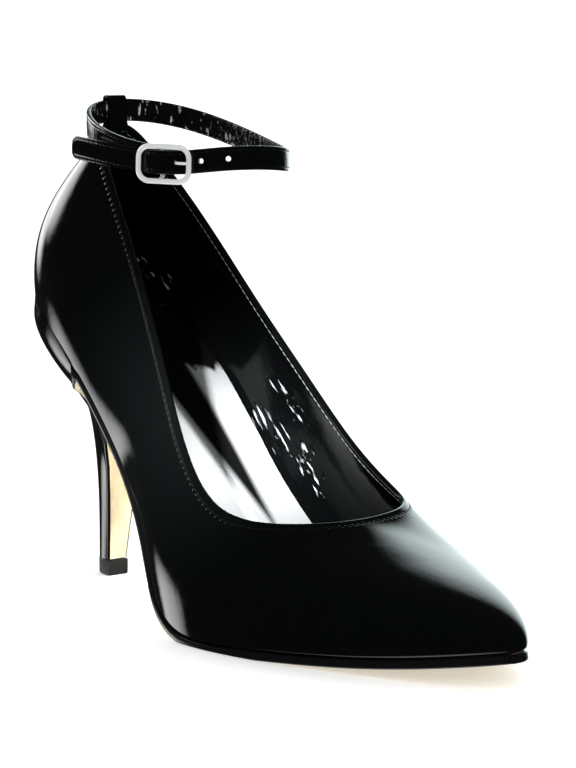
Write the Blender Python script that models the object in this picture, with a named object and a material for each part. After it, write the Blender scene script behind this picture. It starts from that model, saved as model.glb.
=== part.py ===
"""Ankle strap pump, right shoe: pointed patent upper on a slim covered heel,
with a narrow strap that goes once around the ankle and fastens in a small buckle.

X runs from the heel to the toe, Y towards the big toe side, Z up.
Sizes are in millimetres until the meshes are made, which are in metres.
The floor is at Z = 0 and the middle of the shoe's box stands over the origin.
"""

import math

import bpy
import numpy as np

for old in list(bpy.data.objects):
    bpy.data.objects.remove(old, do_unlink=True)

MM = 0.001
GAP = 0.3

# the middle of the shoe's box, measured from the back of the seat
BOX_MIDDLE_X = 109.2
BOX_MIDDLE_Y = -1.1

UPPER_WALL = 1.8
INSOLE_THICK = 2.0
SOLE_THICK_BALL = 2.5
SOLE_THICK_WAIST = 2.0
SOLE_OVERHANG = 0.3
SOLE_EDGE_ROUND = 0.5
BREAST_LEATHER = 1.5
TOP_PIECE_HEIGHT = 5.3
TOP_PIECE_MARGIN = 0.35
SEAT_FLARE = 0.5

STRAP_WIDTH = 7.4
STRAP_THICK = 1.6
STRAP_HOLE_R = 1.3
STRAP_HOLE_PITCH = 8.3
STRAP_EDGE_ROUND = 0.35
FIRST_HOLE_FROM_BUCKLE = 4.1

LOOP_WIDTH = 7.6
LOOP_THICK = 0.9
LOOP_LEG = 4.0
TAB_OUTER_R = 8.6
TAB_INNER_R = 6.2

BUCKLE_LONG = 19.0
BUCKLE_TALL = 12.4
BUCKLE_CORNER = 3.6
WIRE_WIDE = 1.7
WIRE_THICK = 1.4
BAR_THICK = 1.4
PRONG_THICK = 0.9

# the line where the upper meets the sole, seen from the side
BOTTOM_LINE = [
    # x,     z
    (-0.7, 97.2),
    (18.8, 92.3),
    (42.3, 79.0),
    (67.8, 50.7),
    (95.4, 18.6),
    (113.5, 0.4),
    (144.0, 2.6),
    (183.4, 4.2),
    (216.3, 9.2),
]

# ribs of the upper from its bottom edge to its top line.
# along: way along the bottom line; lateral, medial: bottom edge to each side
# top_x, top_half, top_z: the top line, the same on both sides
# lift, lean: how the rib leaves the bottom edge, up and outwards
# out, up: how its middle stands away from the straight way to the top
# reach, drop: how it comes to the top line, from outside and from below
COLUMNS = (
    "along", "lateral", "medial", "top_x", "top_half", "top_z",
    "lift", "lean", "out", "up", "reach", "drop",
)
RIBS = {
    "back": (-5.2, 0.0, 0.0, 23.4, 0.0, 152.4, 20.2, 2.5, 12.0, 4.4, 7.6, 10.0),
    "heel": (0.4, 16.6, 16.4, 25.2, 5.9, 152.7, 19.6, 1.8, 10.4, 3.6, 7.2, 10.4),
    "heel side": (17.2, 26.9, 26.1, 31.2, 10.0, 145.4, 18.8, 1.6, 8.6, 2.5, 6.0, 11.2),
    "seat": (40.8, 30.0, 28.8, 43.8, 14.1, 132.4, 18.0, 1.9, 7.4, 1.5, 4.8, 11.8),
    "breast": (67.1, 29.3, 27.9, 59.6, 17.8, 114.8, 17.3, 1.9, 6.0, 0.7, 3.7, 12.1),
    "shank": (93.9, 28.8, 26.2, 76.7, 22.1, 93.6, 16.6, 2.0, 5.2, 0.4, 3.2, 12.2),
    "waist": (119.1, 33.3, 29.7, 94.6, 27.9, 72.0, 15.9, 2.2, 5.0, 0.4, 3.4, 11.7),
    "arch": (143.1, 41.6, 36.2, 110.9, 32.5, 52.4, 15.2, 2.6, 6.0, 0.8, 4.5, 11.0),
    "ball": (169.0, 42.5, 39.0, 126.9, 34.8, 41.4, 14.3, 3.0, 8.0, 1.6, 6.4, 10.1),
    "joint": (196.9, 34.8, 34.5, 139.9, 31.4, 38.4, 12.9, 3.0, 10.8, 2.2, 9.2, 9.1),
    "toes": (225.3, 23.8, 25.6, 147.3, 22.4, 37.8, 11.0, 3.0, 14.2, 2.2, 12.6, 8.5),
    "toe side": (249.2, 12.4, 14.2, 150.7, 11.2, 37.4, 9.2, 2.4, 16.8, 1.8, 16.0, 8.3),
    "toe": (264.5, -2.2, 2.2, 151.9, 0.0, 37.3, 7.9, 2.3, 19.4, 1.4, 19.2, 8.4),
}

# level cuts of the heel with its front leather, from the seat down
HEEL_CUTS = [
    # depth, back_x, front_x, half
    (0.00, -3.0, 44.0, 28.6),
    (0.06, -2.2, 40.4, 27.8),
    (0.14, -0.2, 37.4, 23.6),
    (0.25, 5.6, 34.3, 15.6),
    (0.40, 12.0, 31.2, 8.4),
    (0.62, 15.2, 27.8, 5.6),
    (0.82, 15.6, 26.0, 4.5),
    (1.00, 14.9, 24.2, 3.7),
]
# the leather's turn below the front of the seat, cut by cut from the second one:
# how much further it stands out of the heel's front, and how far its outside hangs lower
BREAST_TURN = [
    # stand, sag
    (0.5, 4.6),
    (0.5, 4.0),
    (1.7, 2.4),
    (1.3, 1.2),
    (0.3, 0.4),
]
BREAST_DEPTHS = (0.0, 0.03, 0.07, 0.12, 0.18, 0.25, 0.33, 0.42, 0.54, 0.68, 0.84, 0.998)

# the strap's run: angle around the ankle from the toe side, stand off from the
# ankle's oval, drop below the oval's tilted plane
ANKLE_X = 61.4
ANKLE_Y = 2.4
ANKLE_HALF_LONG = 37.2
ANKLE_HALF_WIDE = 27.2
ANKLE_Z = 150.4
ANKLE_TILT = 0.184
STRAP_RUN = [
    # angle, stand_off, drop
    (-48.0, 0.0, 2.8),
    (-60.0, 0.0, 3.2),
    (-75.0, 0.0, 3.6),
    (-95.0, 0.0, 3.3),
    (-115.0, 0.0, 2.4),
    (-135.0, 0.0, 1.3),
    (-157.0, 0.0, 0.3),
    (-180.0, 0.0, 0.0),
    (-205.0, 0.0, 0.0),
    (-232.0, -0.4, 1.1),
    (-260.0, -0.7, 3.2),
    (-288.0, -0.5, 4.2),
    (-315.0, 0.9, 3.1),
    (-338.0, 4.0, 1.2),
    (-358.0, 6.5, -0.4),
    (-376.0, 5.9, -0.2),
    (-390.0, 4.2, 1.2),
    (-402.0, 3.0, 2.9),
    (-414.0, 2.9, 4.1),
    (-427.0, 2.9, 4.8),
    (-440.0, 3.2, 5.4),
    (-452.0, 3.9, 5.9),
    (-463.0, 5.0, 6.4),
    (-473.0, 6.5, 6.9),
]
TAIL_NARROWING = (0.30, 0.10, 0.03)
BAR_RIDE = 5.0
BUCKLE_ANGLE = -413.5
BAR_ANGLE = -415.5
BAR_SET = 1.2
BAR_LIFT = 1.25
FRAME_DROP = 0.5


def material(name, colour, roughness, metallic=0.0):
    shade = bpy.data.materials.new(name)
    shade.use_nodes = True
    shader = shade.node_tree.nodes["Principled BSDF"]
    shader.inputs["Base Color"].default_value = (*colour, 1.0)
    shader.inputs["Roughness"].default_value = roughness
    shader.inputs["Metallic"].default_value = metallic
    return shade


def solid(name, points, faces, shade, crease=40.0):
    """A closed mesh object from points in millimetres, smooth but for its edges."""
    points = np.asarray(points, float) - (BOX_MIDDLE_X, BOX_MIDDLE_Y, 0.0)
    mesh = bpy.data.meshes.new(name)
    mesh.from_pydata([tuple(p) for p in points * MM], [], faces)
    mesh.validate()
    corners = np.array([v.co[:] for v in mesh.vertices])
    volume = 0.0
    for face in mesh.polygons:
        ring = corners[list(face.vertices)]
        for b, c in zip(ring[1:-1], ring[2:]):
            volume += np.dot(ring[0], np.cross(b, c))
    if volume < 0:
        mesh.flip_normals()
    mesh.polygons.foreach_set("use_smooth", [True] * len(mesh.polygons))
    mesh.set_sharp_from_angle(angle=math.radians(crease))
    mesh.materials.append(shade)
    body = bpy.data.objects.new(name, mesh)
    bpy.context.scene.collection.objects.link(body)
    return body


def loop_weights(t, count):
    """Cubic weights of each row around a closed run of rows, at places t from 0 to 1."""
    place = np.asarray(t, float) * count
    row = np.floor(place).astype(int)
    f = place - row
    parts = ((1 - f) ** 3, 3 * f**3 - 6 * f**2 + 4, -3 * f**3 + 3 * f**2 + 3 * f + 1, f**3)
    weights = np.zeros((len(place), count))
    for step, part in enumerate(parts):
        np.add.at(weights, (np.arange(len(place)), (row - 1 + step) % count), part / 6)
    return weights


def fair(rows, count):
    """A soft curve through an open run of rows, from the first to the last."""
    rows = np.asarray(rows, float)
    ends = np.vstack([2 * rows[0] - rows[1], rows, 2 * rows[-1] - rows[-2]])
    place = np.linspace(0, len(rows) - 1, count)
    row = np.minimum(place.astype(int), len(rows) - 2)
    f = (place - row)[:, None]
    return (
        (1 - f) ** 3 * ends[row]
        + (3 * f**3 - 6 * f**2 + 4) * ends[row + 1]
        + (-3 * f**3 + 3 * f**2 + 3 * f + 1) * ends[row + 2]
        + f**3 * ends[row + 3]
    ) / 6


LINE = fair(BOTTOM_LINE, 400)
LINE_WAY = np.concatenate([[0.0], np.cumsum(np.hypot(*np.diff(LINE, axis=0).T))])
LINE_DIRECTION = np.gradient(LINE, LINE_WAY, axis=0)


def on_line(way):
    """X and Z on the bottom line, carried on straight past its ends."""
    x = np.interp(way, LINE_WAY, LINE[:, 0])
    z = np.interp(way, LINE_WAY, LINE[:, 1])
    before = np.minimum(way, 0.0)
    after = np.maximum(way - LINE_WAY[-1], 0.0)
    x = x + before * LINE_DIRECTION[0, 0] + after * LINE_DIRECTION[-1, 0]
    z = z + before * LINE_DIRECTION[0, 1] + after * LINE_DIRECTION[-1, 1]
    return x, z


LINE_LONG_X, LINE_LONG_Z = on_line(np.linspace(-15.0, LINE_WAY[-1] + 15.0, 600))


def bottom_height(x):
    return np.interp(x, LINE_LONG_X, LINE_LONG_Z)


def bottom_normal(x):
    """The bottom line's upward normal at x, as X and Z."""
    slope = (bottom_height(x + 0.5) - bottom_height(x - 0.5)) / 1.0
    size = np.hypot(slope, 1.0)
    return -slope / size, 1.0 / size


def rib_rows():
    """The ribs in order: back, lateral side, toe, medial side."""
    names = list(RIBS)
    column = {key: i for i, key in enumerate(COLUMNS)}
    rows = []
    for side, order in ((-1, names), (1, names[-2:0:-1])):
        for name in order:
            rib = RIBS[name]
            across = side * rib[column["lateral" if side < 0 else "medial"]]
            rows.append(
                (rib[0], across, rib[3], side * rib[4]) + tuple(rib[5:])
            )
    return np.array(rows)


ROWS = rib_rows()


def bottom_edge(t):
    """The upper's bottom edge and its outward direction in plan, at places t around."""
    here = loop_weights(t, len(ROWS)) @ ROWS[:, :2]
    ahead = loop_weights((t + 1e-4) % 1.0, len(ROWS)) @ ROWS[:, :2]
    x, z = on_line(here[:, 0])
    step_x = on_line(ahead[:, 0])[0] - x
    step_y = ahead[:, 1] - here[:, 1]
    out = np.stack([step_y, -step_x, 0 * x], 1)
    out /= np.linalg.norm(out, axis=1)[:, None]
    return np.stack([x, here[:, 1], z], 1), out


def upper_skin(t, s):
    """The upper's outside: ribs at places t around, from 0 at the bottom edge to 1 at the top."""
    mix = loop_weights(t, len(ROWS)) @ ROWS
    foot, out = bottom_edge(t)
    top = mix[:, 2:5]
    lift, lean, bulge, raised, reach, drop = (mix[:, i : i + 1] for i in range(5, 11))
    up = np.array([0.0, 0.0, 1.0])
    guides = (
        foot,
        foot + lift * up + lean * out,
        (foot + top) / 2 + bulge * out + raised * up,
        top + reach * out - drop * up,
        top,
    )
    s = np.asarray(s, float)[None, :, None]
    shares = ((1 - s) ** 4, 4 * s * (1 - s) ** 3, 6 * s**2 * (1 - s) ** 2, 4 * s**3 * (1 - s), s**4)
    return sum(share * guide[:, None] for share, guide in zip(shares, guides))


def skin_normals(grid):
    """Outward normals of a grid of ribs that closes around."""
    around = np.roll(grid, -1, 0) - np.roll(grid, 1, 0)
    along = np.gradient(grid, axis=1)
    normal = np.cross(along, around)
    normal /= np.linalg.norm(normal, axis=2)[:, :, None]
    middle = grid.shape[0] // 4
    if normal[middle, 1, 1] > 0:
        normal = -normal
    return normal


def ring_faces(columns, rows):
    """Faces of a grid that closes both around and across."""
    faces = []
    for i in range(columns):
        for j in range(rows):
            a = i * rows
            b = (i + 1) % columns * rows
            k = (j + 1) % rows
            faces.append((a + j, b + j, b + k, a + k))
    return faces


def make_upper(shade):
    t = np.arange(96) / 96
    s = np.array([0.0, 0.06, 0.14, 0.24, 0.35, 0.46, 0.57, 0.68, 0.79, 0.89, 0.96, 1.0])
    outside = upper_skin(t, s)
    normal = skin_normals(outside)
    foot, out = bottom_edge(t)
    flat = np.clip(1 - s / 0.2, 0, 1)[None, :, None]
    way = flat * out[:, None] + (1 - flat) * normal
    way /= np.linalg.norm(way, axis=2)[:, :, None]
    inside = outside - UPPER_WALL * way
    inside[:, 0, 2] = bottom_height(inside[:, 0, 0])
    rim = (outside[:, -1] + inside[:, -1]) / 2
    rise = outside[:, -1] - outside[:, -2]
    rise /= np.linalg.norm(rise, axis=1)[:, None]
    rim = rim + rise * UPPER_WALL * 0.35
    profile = np.concatenate([outside, rim[:, None], inside[:, ::-1]], 1)
    columns, rows = profile.shape[:2]
    return solid("upper", profile.reshape(-1, 3), ring_faces(columns, rows), shade, 55.0)


def outline(inset, count):
    """Matching lateral and medial points of the bottom's outline, from the back to the toe."""
    t = np.linspace(0.0, 0.5, count)
    edge, out = bottom_edge(t)
    lateral = edge - inset * out
    edge, out = bottom_edge((1.0 - t) % 1.0)
    medial = edge - inset * out
    return lateral, medial


def slab(name, lateral, medial, lower, upper, across, shade, crease=40.0):
    """A closed solid between two heights on rungs from the lateral to the medial points.

    lower and upper give a point of the solid from a point of the rung.
    """
    share = np.linspace(0.0, 1.0, across + 1)[None, :, None]
    rungs = lateral[:, None] * (1 - share) + medial[:, None] * share
    bottom = lower(rungs)
    top = upper(rungs)
    count = len(lateral)
    wide = across + 1
    points = np.concatenate([bottom.reshape(-1, 3), top.reshape(-1, 3)])
    high = count * wide
    faces = []
    for i in range(count - 1):
        for j in range(across):
            a = i * wide + j
            faces.append((a, a + 1, a + wide + 1, a + wide))
            faces.append((high + a, high + a + wide, high + a + wide + 1, high + a + 1))
        a = i * wide
        faces.append((a, a + wide, high + a + wide, high + a))
        a = i * wide + across
        faces.append((a, high + a, high + a + wide, a + wide))
    for j in range(across):
        faces.append((j, high + j, high + j + 1, j + 1))
        a = (count - 1) * wide + j
        faces.append((a, a + 1, high + a + 1, high + a))
    return solid(name, points, faces, shade, crease)


def make_insole(shade):
    lateral, medial = outline(UPPER_WALL + GAP, 33)
    lateral = lateral[1:-1]
    medial = medial[1:-1]

    def lower(rungs):
        points = rungs.copy()
        points[..., 2] = bottom_height(points[..., 0])
        return points

    def upper(rungs):
        points = lower(rungs)
        nx, nz = bottom_normal(points[..., 0])
        points[..., 0] += nx * INSOLE_THICK
        points[..., 2] += nz * INSOLE_THICK
        return points

    return slab("insole", lateral, medial, lower, upper, 6, shade)


def heel_cut(depth):
    """Back, front and half width of the heel with its front leather at a depth."""
    return [np.interp(depth, HEEL_FAIR[:, 0], HEEL_FAIR[:, i]) for i in (1, 2, 3)]


HEEL_FAIR = fair(HEEL_CUTS, 200)
HEEL_FOOT_Z = TOP_PIECE_HEIGHT + GAP


def heel_ring(depth, front_inset, count):
    """A ring of the heel from its lateral front corner around the back to the medial one."""
    back, front, half = heel_cut(depth)
    front = front - front_inset
    angle = np.linspace(-math.pi / 2, math.pi / 2, count)
    square = 2.0 + 1.4 * max(0.0, 1.0 - depth / 0.2)
    x = front - (front - back) * np.abs(np.cos(angle)) ** (2 / square)
    y = half * np.sign(angle) * np.abs(np.sin(angle)) ** (2 / square)
    drawn = np.stack([x, y], 1)
    lateral, medial = outline(-SEAT_FLARE, 200)
    seat = np.concatenate([lateral[::-1], medial[1:]])[:, :2]
    seat_front = heel_cut(0.0)[1] - front_inset
    seat = seat[seat[:, 0] < seat_front]
    way = np.concatenate([[0.0], np.cumsum(np.hypot(*np.diff(seat, axis=0).T))])
    place = np.linspace(0.0, way[-1], count)
    seat = np.stack([np.interp(place, way, seat[:, i]) for i in (0, 1)], 1)
    seat[0, 0] = seat[-1, 0] = seat_front
    blend = min(1.0, depth / 0.14)
    blend = blend * blend * (3 - 2 * blend)
    plan = seat * (1 - blend) + drawn * blend
    top = bottom_height(seat[:, 0]) - GAP
    z = top * (1 - depth) + HEEL_FOOT_Z * depth
    return np.concatenate([plan, z[:, None]], 1)


def make_heel(shade):
    depths = np.array([0.0, 0.03, 0.07, 0.12, 0.18, 0.25, 0.33, 0.42, 0.54, 0.68, 0.84, 1.0])
    count = 25
    across = 4
    inset = BREAST_LEATHER + GAP
    rings = []
    for depth in depths:
        ring = heel_ring(depth, inset, count)
        share = np.linspace(0, 1, across + 1)[1:-1, None]
        front = ring[-1] * (1 - share) + ring[0] * share
        rings.append(np.concatenate([ring, front]))
    rings = np.array(rings)
    size = rings.shape[1]
    points = [rings.reshape(-1, 3)]
    faces = []
    for i in range(len(depths) - 1):
        for j in range(size):
            k = (j + 1) % size
            faces.append((i * size + j, i * size + k, (i + 1) * size + k, (i + 1) * size + j))
    first = len(rings) * size
    # the seat: rungs across it at the height of the bottom line
    ring = rings[0]
    half = count // 2
    inner = []
    for j in range(1, half):
        a, b = ring[j], ring[count - 1 - j]
        for share in np.linspace(0, 1, across + 1)[1:-1]:
            inner.append(a * (1 - share) + b * share)
    points.append(np.array(inner))

    def rung(j):
        if j == 0:
            middle = [size - 1 - k for k in range(across - 1)]
            return [0] + middle + [count - 1]
        start = first + (j - 1) * (across - 1)
        return [j] + list(range(start, start + across - 1)) + [count - 1 - j]

    for j in range(half - 1):
        low, high = rung(j), rung(j + 1)
        for k in range(across):
            faces.append((low[k], low[k + 1], high[k + 1], high[k]))
    last = rung(half - 1)
    for k in range(across):
        faces.append((last[k], last[k + 1], half))
    base = (len(rings) - 1) * size
    faces.append(tuple(base + j for j in range(size)))
    body = solid("heel", np.concatenate(points), faces, shade, 40.0)
    return body


def make_top_piece(shade):
    ring = heel_ring(1.0, 0.0, 25)[:, :2]
    middle = ring.mean(0)
    away = ring - middle
    ring = ring + TOP_PIECE_MARGIN * away / np.linalg.norm(away, axis=1)[:, None]
    count = len(ring)
    low = np.concatenate([middle + (ring - middle) * 0.94, np.zeros((count, 1))], 1)
    edge = np.concatenate([ring, np.full((count, 1), 0.4)], 1)
    high = np.concatenate([ring, np.full((count, 1), TOP_PIECE_HEIGHT)], 1)
    points = np.concatenate([low, edge, high])
    faces = [tuple(range(count)), tuple(2 * count + j for j in range(count))[::-1]]
    for level in (0, 1):
        for j in range(count):
            k = (j + 1) % count
            a = level * count
            faces.append((a + j, a + k, a + count + k, a + count + j)[::-1])
    return solid("top_piece", points, faces, shade, 30.0)


def make_outsole(shade):
    """The sole from the toe up the shank, then down the front of the heel."""
    seat_front = heel_cut(0.0)[1]
    t = np.concatenate([np.linspace(0.497, 0.44, 9), np.linspace(0.425, 0.0, 60)])
    lateral, out = bottom_edge(t)
    lateral = lateral + SOLE_OVERHANG * out
    medial, out = bottom_edge((1.0 - t) % 1.0)
    medial = medial + SOLE_OVERHANG * out
    keep = (lateral[:, 0] + medial[:, 0]) / 2 > seat_front + 3.0
    lateral, medial = lateral[keep], medial[keep]
    middle = (lateral[:, 0] + medial[:, 0]) / 2
    stations = []
    for i, x in enumerate(middle):
        nx, nz = bottom_normal(x)
        z = bottom_height(x)
        waist = np.clip((115.0 - x) / 20.0, 0, 1)
        thick = SOLE_THICK_BALL * (1 - waist) + SOLE_THICK_WAIST * waist
        over = (x - GAP * nx, z - GAP * nz)
        under = (x - (GAP + thick) * nx, max(0.0, z - (GAP + thick) * nz))
        stations.append((over, under, lateral[i], medial[i]))
    last_half_lateral = abs(stations[-1][2][1])
    last_half_medial = abs(stations[-1][3][1])
    points_over = [s[0] for s in stations]
    points_under = [s[1] for s in stations]
    halves = [(abs(s[2][1]), abs(s[3][1])) for s in stations]
    # the turn at the top of the heel's front, then down it
    for k, depth in enumerate(BREAST_DEPTHS[1:], 1):
        corner = heel_ring(depth, BREAST_LEATHER, 25)[0]
        front, z, half = corner[0], corner[2], abs(corner[1])
        stand, sag = BREAST_TURN[k - 1] if k <= len(BREAST_TURN) else (0.0, 0.0)
        share = min(1.0, k / 3)
        points_over.append((front, z))
        points_under.append((front + BREAST_LEATHER + stand, z - sag))
        halves.append(
            (
                half * share + last_half_lateral * (1 - share),
                half * share + last_half_medial * (1 - share),
            )
        )
    count = len(points_over)
    profile = []
    for (ox, oz), (ux, uz), (a, b) in zip(points_over, points_under, halves):
        profile.append(
            [
                (ox, -a, oz),
                (ox, -a / 3, oz),
                (ox, b / 3, oz),
                (ox, b, oz),
                (ux, b - SOLE_EDGE_ROUND, uz),
                (ux, b / 3, uz),
                (ux, -a / 3, uz),
                (ux, -a + SOLE_EDGE_ROUND, uz),
            ]
        )
    profile = np.array(profile, float)
    wide = profile.shape[1]
    faces = [tuple(range(wide)), tuple((count - 1) * wide + j for j in range(wide))[::-1]]
    for i in range(count - 1):
        for j in range(wide):
            k = (j + 1) % wide
            faces.append((i * wide + j, (i + 1) * wide + j, (i + 1) * wide + k, i * wide + k))
    return solid("outsole", profile.reshape(-1, 3), faces, shade, 40.0)


def strap_centre(angles, stand_off, drop):
    """Middle of the strap at angles in degrees."""
    turn = np.radians(angles)
    long = ANKLE_HALF_LONG + stand_off
    wide = ANKLE_HALF_WIDE + stand_off
    x = ANKLE_X + long * np.cos(turn)
    y = ANKLE_Y + wide * np.sin(turn)
    z = ANKLE_Z - ANKLE_TILT * ANKLE_HALF_LONG * np.cos(turn) - drop
    return np.stack([x, y, z], 1)


def strap_path(count):
    """The strap's run, middle line and its directions along, outwards and up."""
    run = fair(STRAP_RUN, count)
    centre = strap_centre(run[:, 0], run[:, 1], run[:, 2])
    # the strap rides over the buckle's bar
    bar = np.exp(-(((run[:, 0] - BAR_ANGLE) / BAR_RIDE) ** 2))
    along = np.gradient(centre, axis=0)
    along /= np.linalg.norm(along, axis=1)[:, None]
    up = np.array([0.0, 0.0, 1.0]) - along * along[:, 2:3]
    up /= np.linalg.norm(up, axis=1)[:, None]
    out = np.cross(along, up)
    away = centre[:, :2] - (ANKLE_X, ANKLE_Y)
    flip = np.sign((out[:, :2] * away).sum(1))[:, None]
    out = out * flip
    centre = centre + out * (BAR_LIFT * bar)[:, None]
    return run, centre, along, out, up


def make_strap(shade):
    run, centre, along, out, up = strap_path(110)
    half_wide = STRAP_WIDTH / 2
    half_thick = STRAP_THICK / 2
    edge = STRAP_EDGE_ROUND
    section = [
        (-half_wide, -half_thick + edge),
        (-half_wide + edge, -half_thick),
        (half_wide - edge, -half_thick),
        (half_wide, -half_thick + edge),
        (half_wide, half_thick - edge),
        (half_wide - edge, half_thick),
        (-half_wide + edge, half_thick),
        (-half_wide, half_thick - edge),
    ]
    count = len(centre)
    size = len(section)
    points = []
    for i in range(count):
        left = count - 1 - i
        narrow = 1.0 - TAIL_NARROWING[left] if left < len(TAIL_NARROWING) else 1.0
        for u, n in section:
            points.append(centre[i] + up[i] * u * narrow + out[i] * n)
    faces = [tuple(range(size)), tuple((count - 1) * size + j for j in range(size))[::-1]]
    for i in range(count - 1):
        for j in range(size):
            k = (j + 1) % size
            faces.append((i * size + j, (i + 1) * size + j, (i + 1) * size + k, i * size + k))
    return solid("ankle_strap", points, faces, shade, 35.0)


def buckle_axes():
    """The buckle's middle, its direction towards the strap's end, outwards and up."""
    run, centre, along, out, up = strap_path(600)
    i = int(np.argmin(np.abs(run[:, 0] - BUCKLE_ANGLE)))
    lift = BAR_LIFT * math.exp(-(((run[i, 0] - BAR_ANGLE) / BAR_RIDE) ** 2))
    middle = centre[i] - out[i] * lift
    return middle, along[i], out[i], up[i]


def tube(path, ups, wide, thick, sides, closed):
    """Points and faces of a round edged tube along a path; ups is its width's direction."""
    path = np.asarray(path, float)
    count = len(path)
    if closed:
        along = np.roll(path, -1, 0) - np.roll(path, 1, 0)
    else:
        along = np.gradient(path, axis=0)
    along /= np.linalg.norm(along, axis=1)[:, None]
    side = np.cross(along, ups)
    side /= np.linalg.norm(side, axis=1)[:, None]
    other = np.cross(side, along)
    angle = (np.arange(sides) + 0.5) * 2 * math.pi / sides
    points = []
    for i in range(count):
        for a in angle:
            points.append(path[i] + side[i] * math.cos(a) * wide / 2 + other[i] * math.sin(a) * thick / 2)
    faces = []
    last = count if closed else count - 1
    for i in range(last):
        n = (i + 1) % count
        for j in range(sides):
            k = (j + 1) % sides
            faces.append((i * sides + j, n * sides + j, n * sides + k, i * sides + k))
    if not closed:
        faces.append(tuple(range(sides)))
        faces.append(tuple((count - 1) * sides + j for j in range(sides))[::-1])
    return points, faces


def make_buckle(shade):
    middle, along, out, up = buckle_axes()
    half_long = (BUCKLE_LONG - WIRE_WIDE) / 2
    half_tall = (BUCKLE_TALL - WIRE_WIDE) / 2
    stand = 1.15
    path = []
    for cx, cy, start in ((1, 1, 0), (-1, 1, 90), (-1, -1, 180), (1, -1, 270)):
        for step in range(7):
            a = math.radians(start + step * 15)
            u = cx * (half_long - BUCKLE_CORNER) + BUCKLE_CORNER * math.cos(a)
            v = cy * (half_tall - BUCKLE_CORNER) + BUCKLE_CORNER * math.sin(a)
            path.append(middle + along * u + up * v + out * stand)
    path = np.array(path) - up * FRAME_DROP
    points, faces = tube(path, np.array([out] * len(path)), WIRE_WIDE, WIRE_THICK, 8, True)
    ring = solid("buckle_frame", points, faces, shade, 60.0)
    bar_path = [
        middle + along * BAR_SET + up * (v - FRAME_DROP) + out * n
        for v, n in (
            (half_tall + 0.1, stand + 0.05),
            (half_tall - 1.45, -0.6),
            (1.3, -0.6),
            (-1.2, -0.6),
            (1.45 - half_tall, -0.6),
            (-half_tall - 0.1, stand + 0.05),
        )
    ]
    points, faces = tube(bar_path, np.array([along] * len(bar_path)), BAR_THICK, BAR_THICK * 0.86, 8, False)
    bar = solid("buckle_bar", points, faces, shade, 60.0)
    bar.hide_render = True
    bar.display_type = "WIRE"
    join = ring.modifiers.new("bar", "BOOLEAN")
    join.operation = "UNION"
    join.solver = "EXACT"
    join.object = bar
    return ring


def make_prong(shade):
    middle, along, out, up = buckle_axes()
    half_long = (BUCKLE_LONG - WIRE_WIDE) / 2
    run = fair(
        [
            # towards the strap's end, outwards
            (0.2, -0.95),
            (-1.2, -1.25),
            (-2.5, -1.45),
            (-3.4, -1.2),
            (-4.0, 0.2),
            (-4.6, 1.9),
            (-5.9, 2.65),
            (-7.6, 2.85),
            (-half_long - 0.4, 2.75),
        ],
        21,
    )
    path = [middle + along * u + out * n for u, n in run]
    points, faces = tube(path, np.array([up] * len(path)), PRONG_THICK, PRONG_THICK, 8, False)
    return solid("buckle_prong", points, faces, shade, 50.0)


def cut_holes(strap):
    run, centre, along, out, up = strap_path(600)
    way = np.concatenate([[0.0], np.cumsum(np.linalg.norm(np.diff(centre, axis=0), axis=1))])
    start = np.interp(-BUCKLE_ANGLE, -run[:, 0], way) - FIRST_HOLE_FROM_BUCKLE
    for number in range(3):
        place = start - number * STRAP_HOLE_PITCH
        i = int(np.argmin(np.abs(way - place)))
        angle = np.arange(12) * math.pi / 6
        points = []
        for n in (-1.35, 3.0):
            for a in angle:
                points.append(
                    centre[i] + out[i] * n
                    + (along[i] * math.cos(a) + up[i] * math.sin(a)) * STRAP_HOLE_R
                )
        faces = [tuple(range(12)), tuple(range(12, 24))[::-1]]
        for j in range(12):
            k = (j + 1) % 12
            faces.append((j, 12 + j, 12 + k, k))
        cutter = solid(f"hole_{number}", points, faces, strap.data.materials[0])
        cutter.hide_render = True
        cutter.display_type = "WIRE"
        cut = strap.modifiers.new(f"hole {number}", "BOOLEAN")
        cut.operation = "DIFFERENCE"
        cut.solver = "EXACT"
        cut.object = cutter


def strap_back(y):
    """X of the strap's middle where it goes behind the heel."""
    return ANKLE_X - ANKLE_HALF_LONG * np.sqrt(1 - ((y - ANKLE_Y) / ANKLE_HALF_WIDE) ** 2)


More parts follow.
